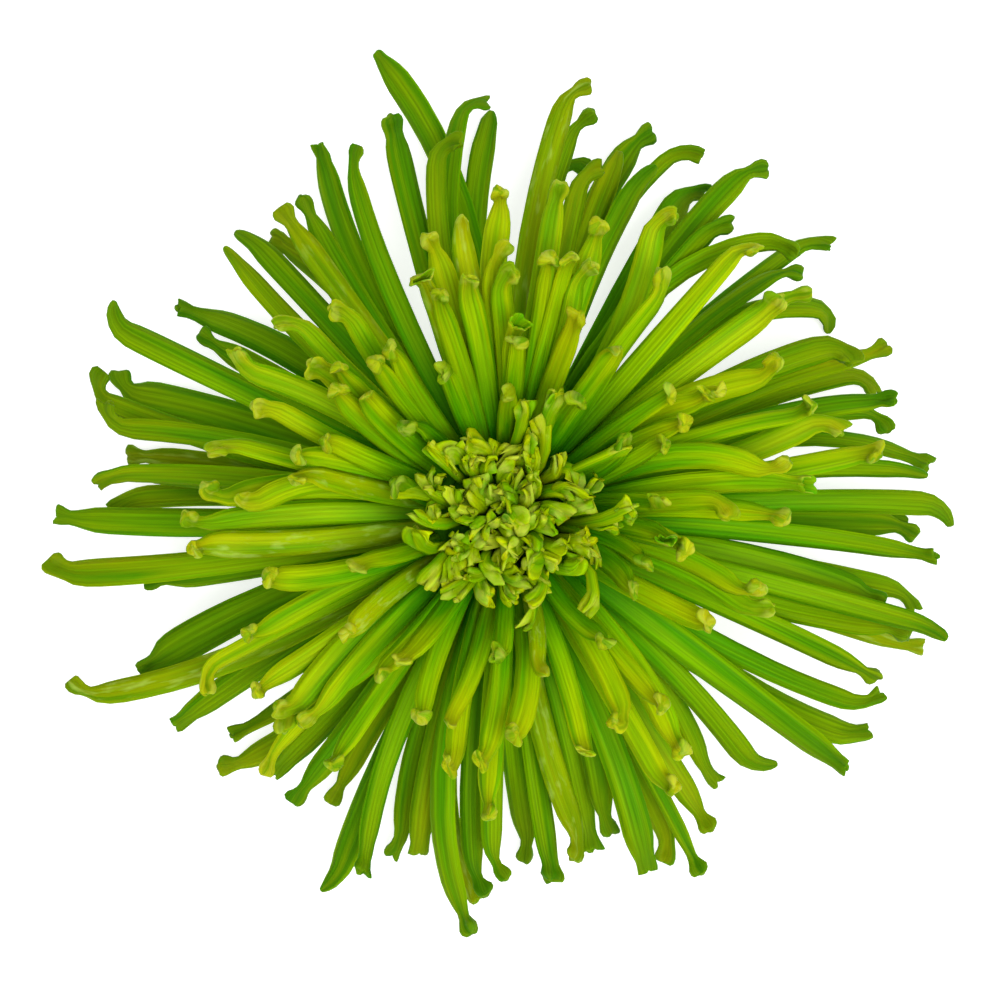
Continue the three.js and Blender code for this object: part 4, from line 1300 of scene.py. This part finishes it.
# fibres 0.7 mm apart and about 8 mm long
fibres = streaky_noise(stalk_skin, stalk_place, (1, 1, 0.08), 1500.0)
rind = add_node(stalk_skin, "ValToRGB", {0: fibres}, stops=[(0.3, "#4A7020"), (0.7, "#86A84A")])
# how far a point lies from the axis
centred = add_node(stalk_skin, "VectorMath", {0: stalk_place, 1: tuple(AXIS)}, operation="SUBTRACT")
level_only = add_node(stalk_skin, "VectorMath", {0: centred, 1: (1, 1, 0)}, operation="MULTIPLY")
from_axis = add_node(stalk_skin, "VectorMath", {0: level_only}, "Value", operation="LENGTH")
inside_by = add_node(stalk_skin, "MapRange", {"Value": from_axis, "From Min": 0.0, "From Max": CUT_RADIUS})
CUT_STOPS = [(0.0, "#E2E4C2"), (0.55, "#D6DCA8"), (0.7, "#AEC07A"), (0.85, "#6E9432")]
cut = add_node(stalk_skin, "ValToRGB", {0: inside_by}, stops=CUT_STOPS)
# the cut face is what lies within 0.4 mm of the table, apart from the rind's own edge
height = add_node(stalk_skin, "SeparateXYZ", {0: stalk_place}, "Z")
CUT_RANGE = {"From Min": 0.4 * MM, "From Max": 0.3 * MM}
on_cut = add_node(stalk_skin, "MapRange", {"Value": height, **CUT_RANGE})
inner_only = add_node(stalk_skin, "MapRange", {"Value": inside_by, "From Min": 0.9, "From Max": 0.82})
cut_share = add_node(stalk_skin, "Math", {0: on_cut, 1: inner_only}, operation="MULTIPLY")
stalk_colour = add_node(stalk_skin, "Mix", {0: cut_share, 6: rind, 7: cut}, 2, data_type="RGBA")
stalk_bump = add_node(stalk_skin, "Bump", {"Height": fibres, "Strength": 0.5, "Distance": FINE_RELIEF})
end_with(stalk_skin, {
    "Base Color": stalk_colour, "Roughness": 0.65, "IOR": 1.45, "Normal": stalk_bump,
    "Specular IOR Level": 0.3,
})

# %% [markdown]
# ## Table, light and camera
#
# The table is a board painted matt white. It glows a little, so that it stays white between the
# florets' shadows. A large soft lamp hangs above, a little to the right and to the front, and the
# white room fills the shadows. The camera looks straight down from 0.42 m.

# %% The table
TABLE_SIZE = 3
board = bpy.data.materials.new("white_board")
begin(board)
end_with(board, {
    "Base Color": "#C0C0C0", "Roughness": 0.8, "Emission Color": "#FFFFFF", "Emission Strength": 0.7,
})
bpy.ops.mesh.primitive_plane_add(size=TABLE_SIZE, location=(0, 0, 0))
table = bpy.context.object
table.name = "table"
table.data.materials.append(board)

# %% Light
LAMP_PLACE = Vector((0.22, -0.16, 0.84))
LAMP_SIZE, LAMP_WATTS = 0.45, 6.8
ROOM_STRENGTH = 0.9
world = bpy.data.worlds.new("white_room")
bpy.context.scene.world = world
world.use_nodes = True
room_light = world.node_tree.nodes["Background"].inputs
room_light["Color"].default_value = (1, 1, 1, 1)
room_light["Strength"].default_value = ROOM_STRENGTH
bpy.ops.object.light_add(type="AREA", location=LAMP_PLACE)
lamp = bpy.context.object
lamp.name = "key"
lamp.data.size = LAMP_SIZE
lamp.data.energy = LAMP_WATTS
lamp.rotation_euler = (-LAMP_PLACE).to_track_quat("-Z", "Y").to_euler()
print(f"the lamp hangs {LAMP_PLACE.z:.2f} m above the table")

# %% Camera
CAMERA_HEIGHT = 0.42
VIEW_WIDTH = 0.150  # what the picture spans at the height of the rim florets
VIEW_CENTRE = Vector((-0.75 * MM, 2.25 * MM, CAMERA_HEIGHT))  # from the axis
RIM_HEIGHT = 8 * MM
SENSOR = 36  # its width, in mm
camera_data = bpy.data.cameras.new("camera")
camera_data.sensor_width = SENSOR
camera_data.lens = SENSOR * (CAMERA_HEIGHT - RIM_HEIGHT) / VIEW_WIDTH
camera = bpy.data.objects.new("camera", camera_data)
camera.location = AXIS + VIEW_CENTRE
bpy.context.scene.collection.objects.link(camera)
bpy.context.scene.camera = camera
bpy.context.scene.view_settings.view_transform = "Standard"
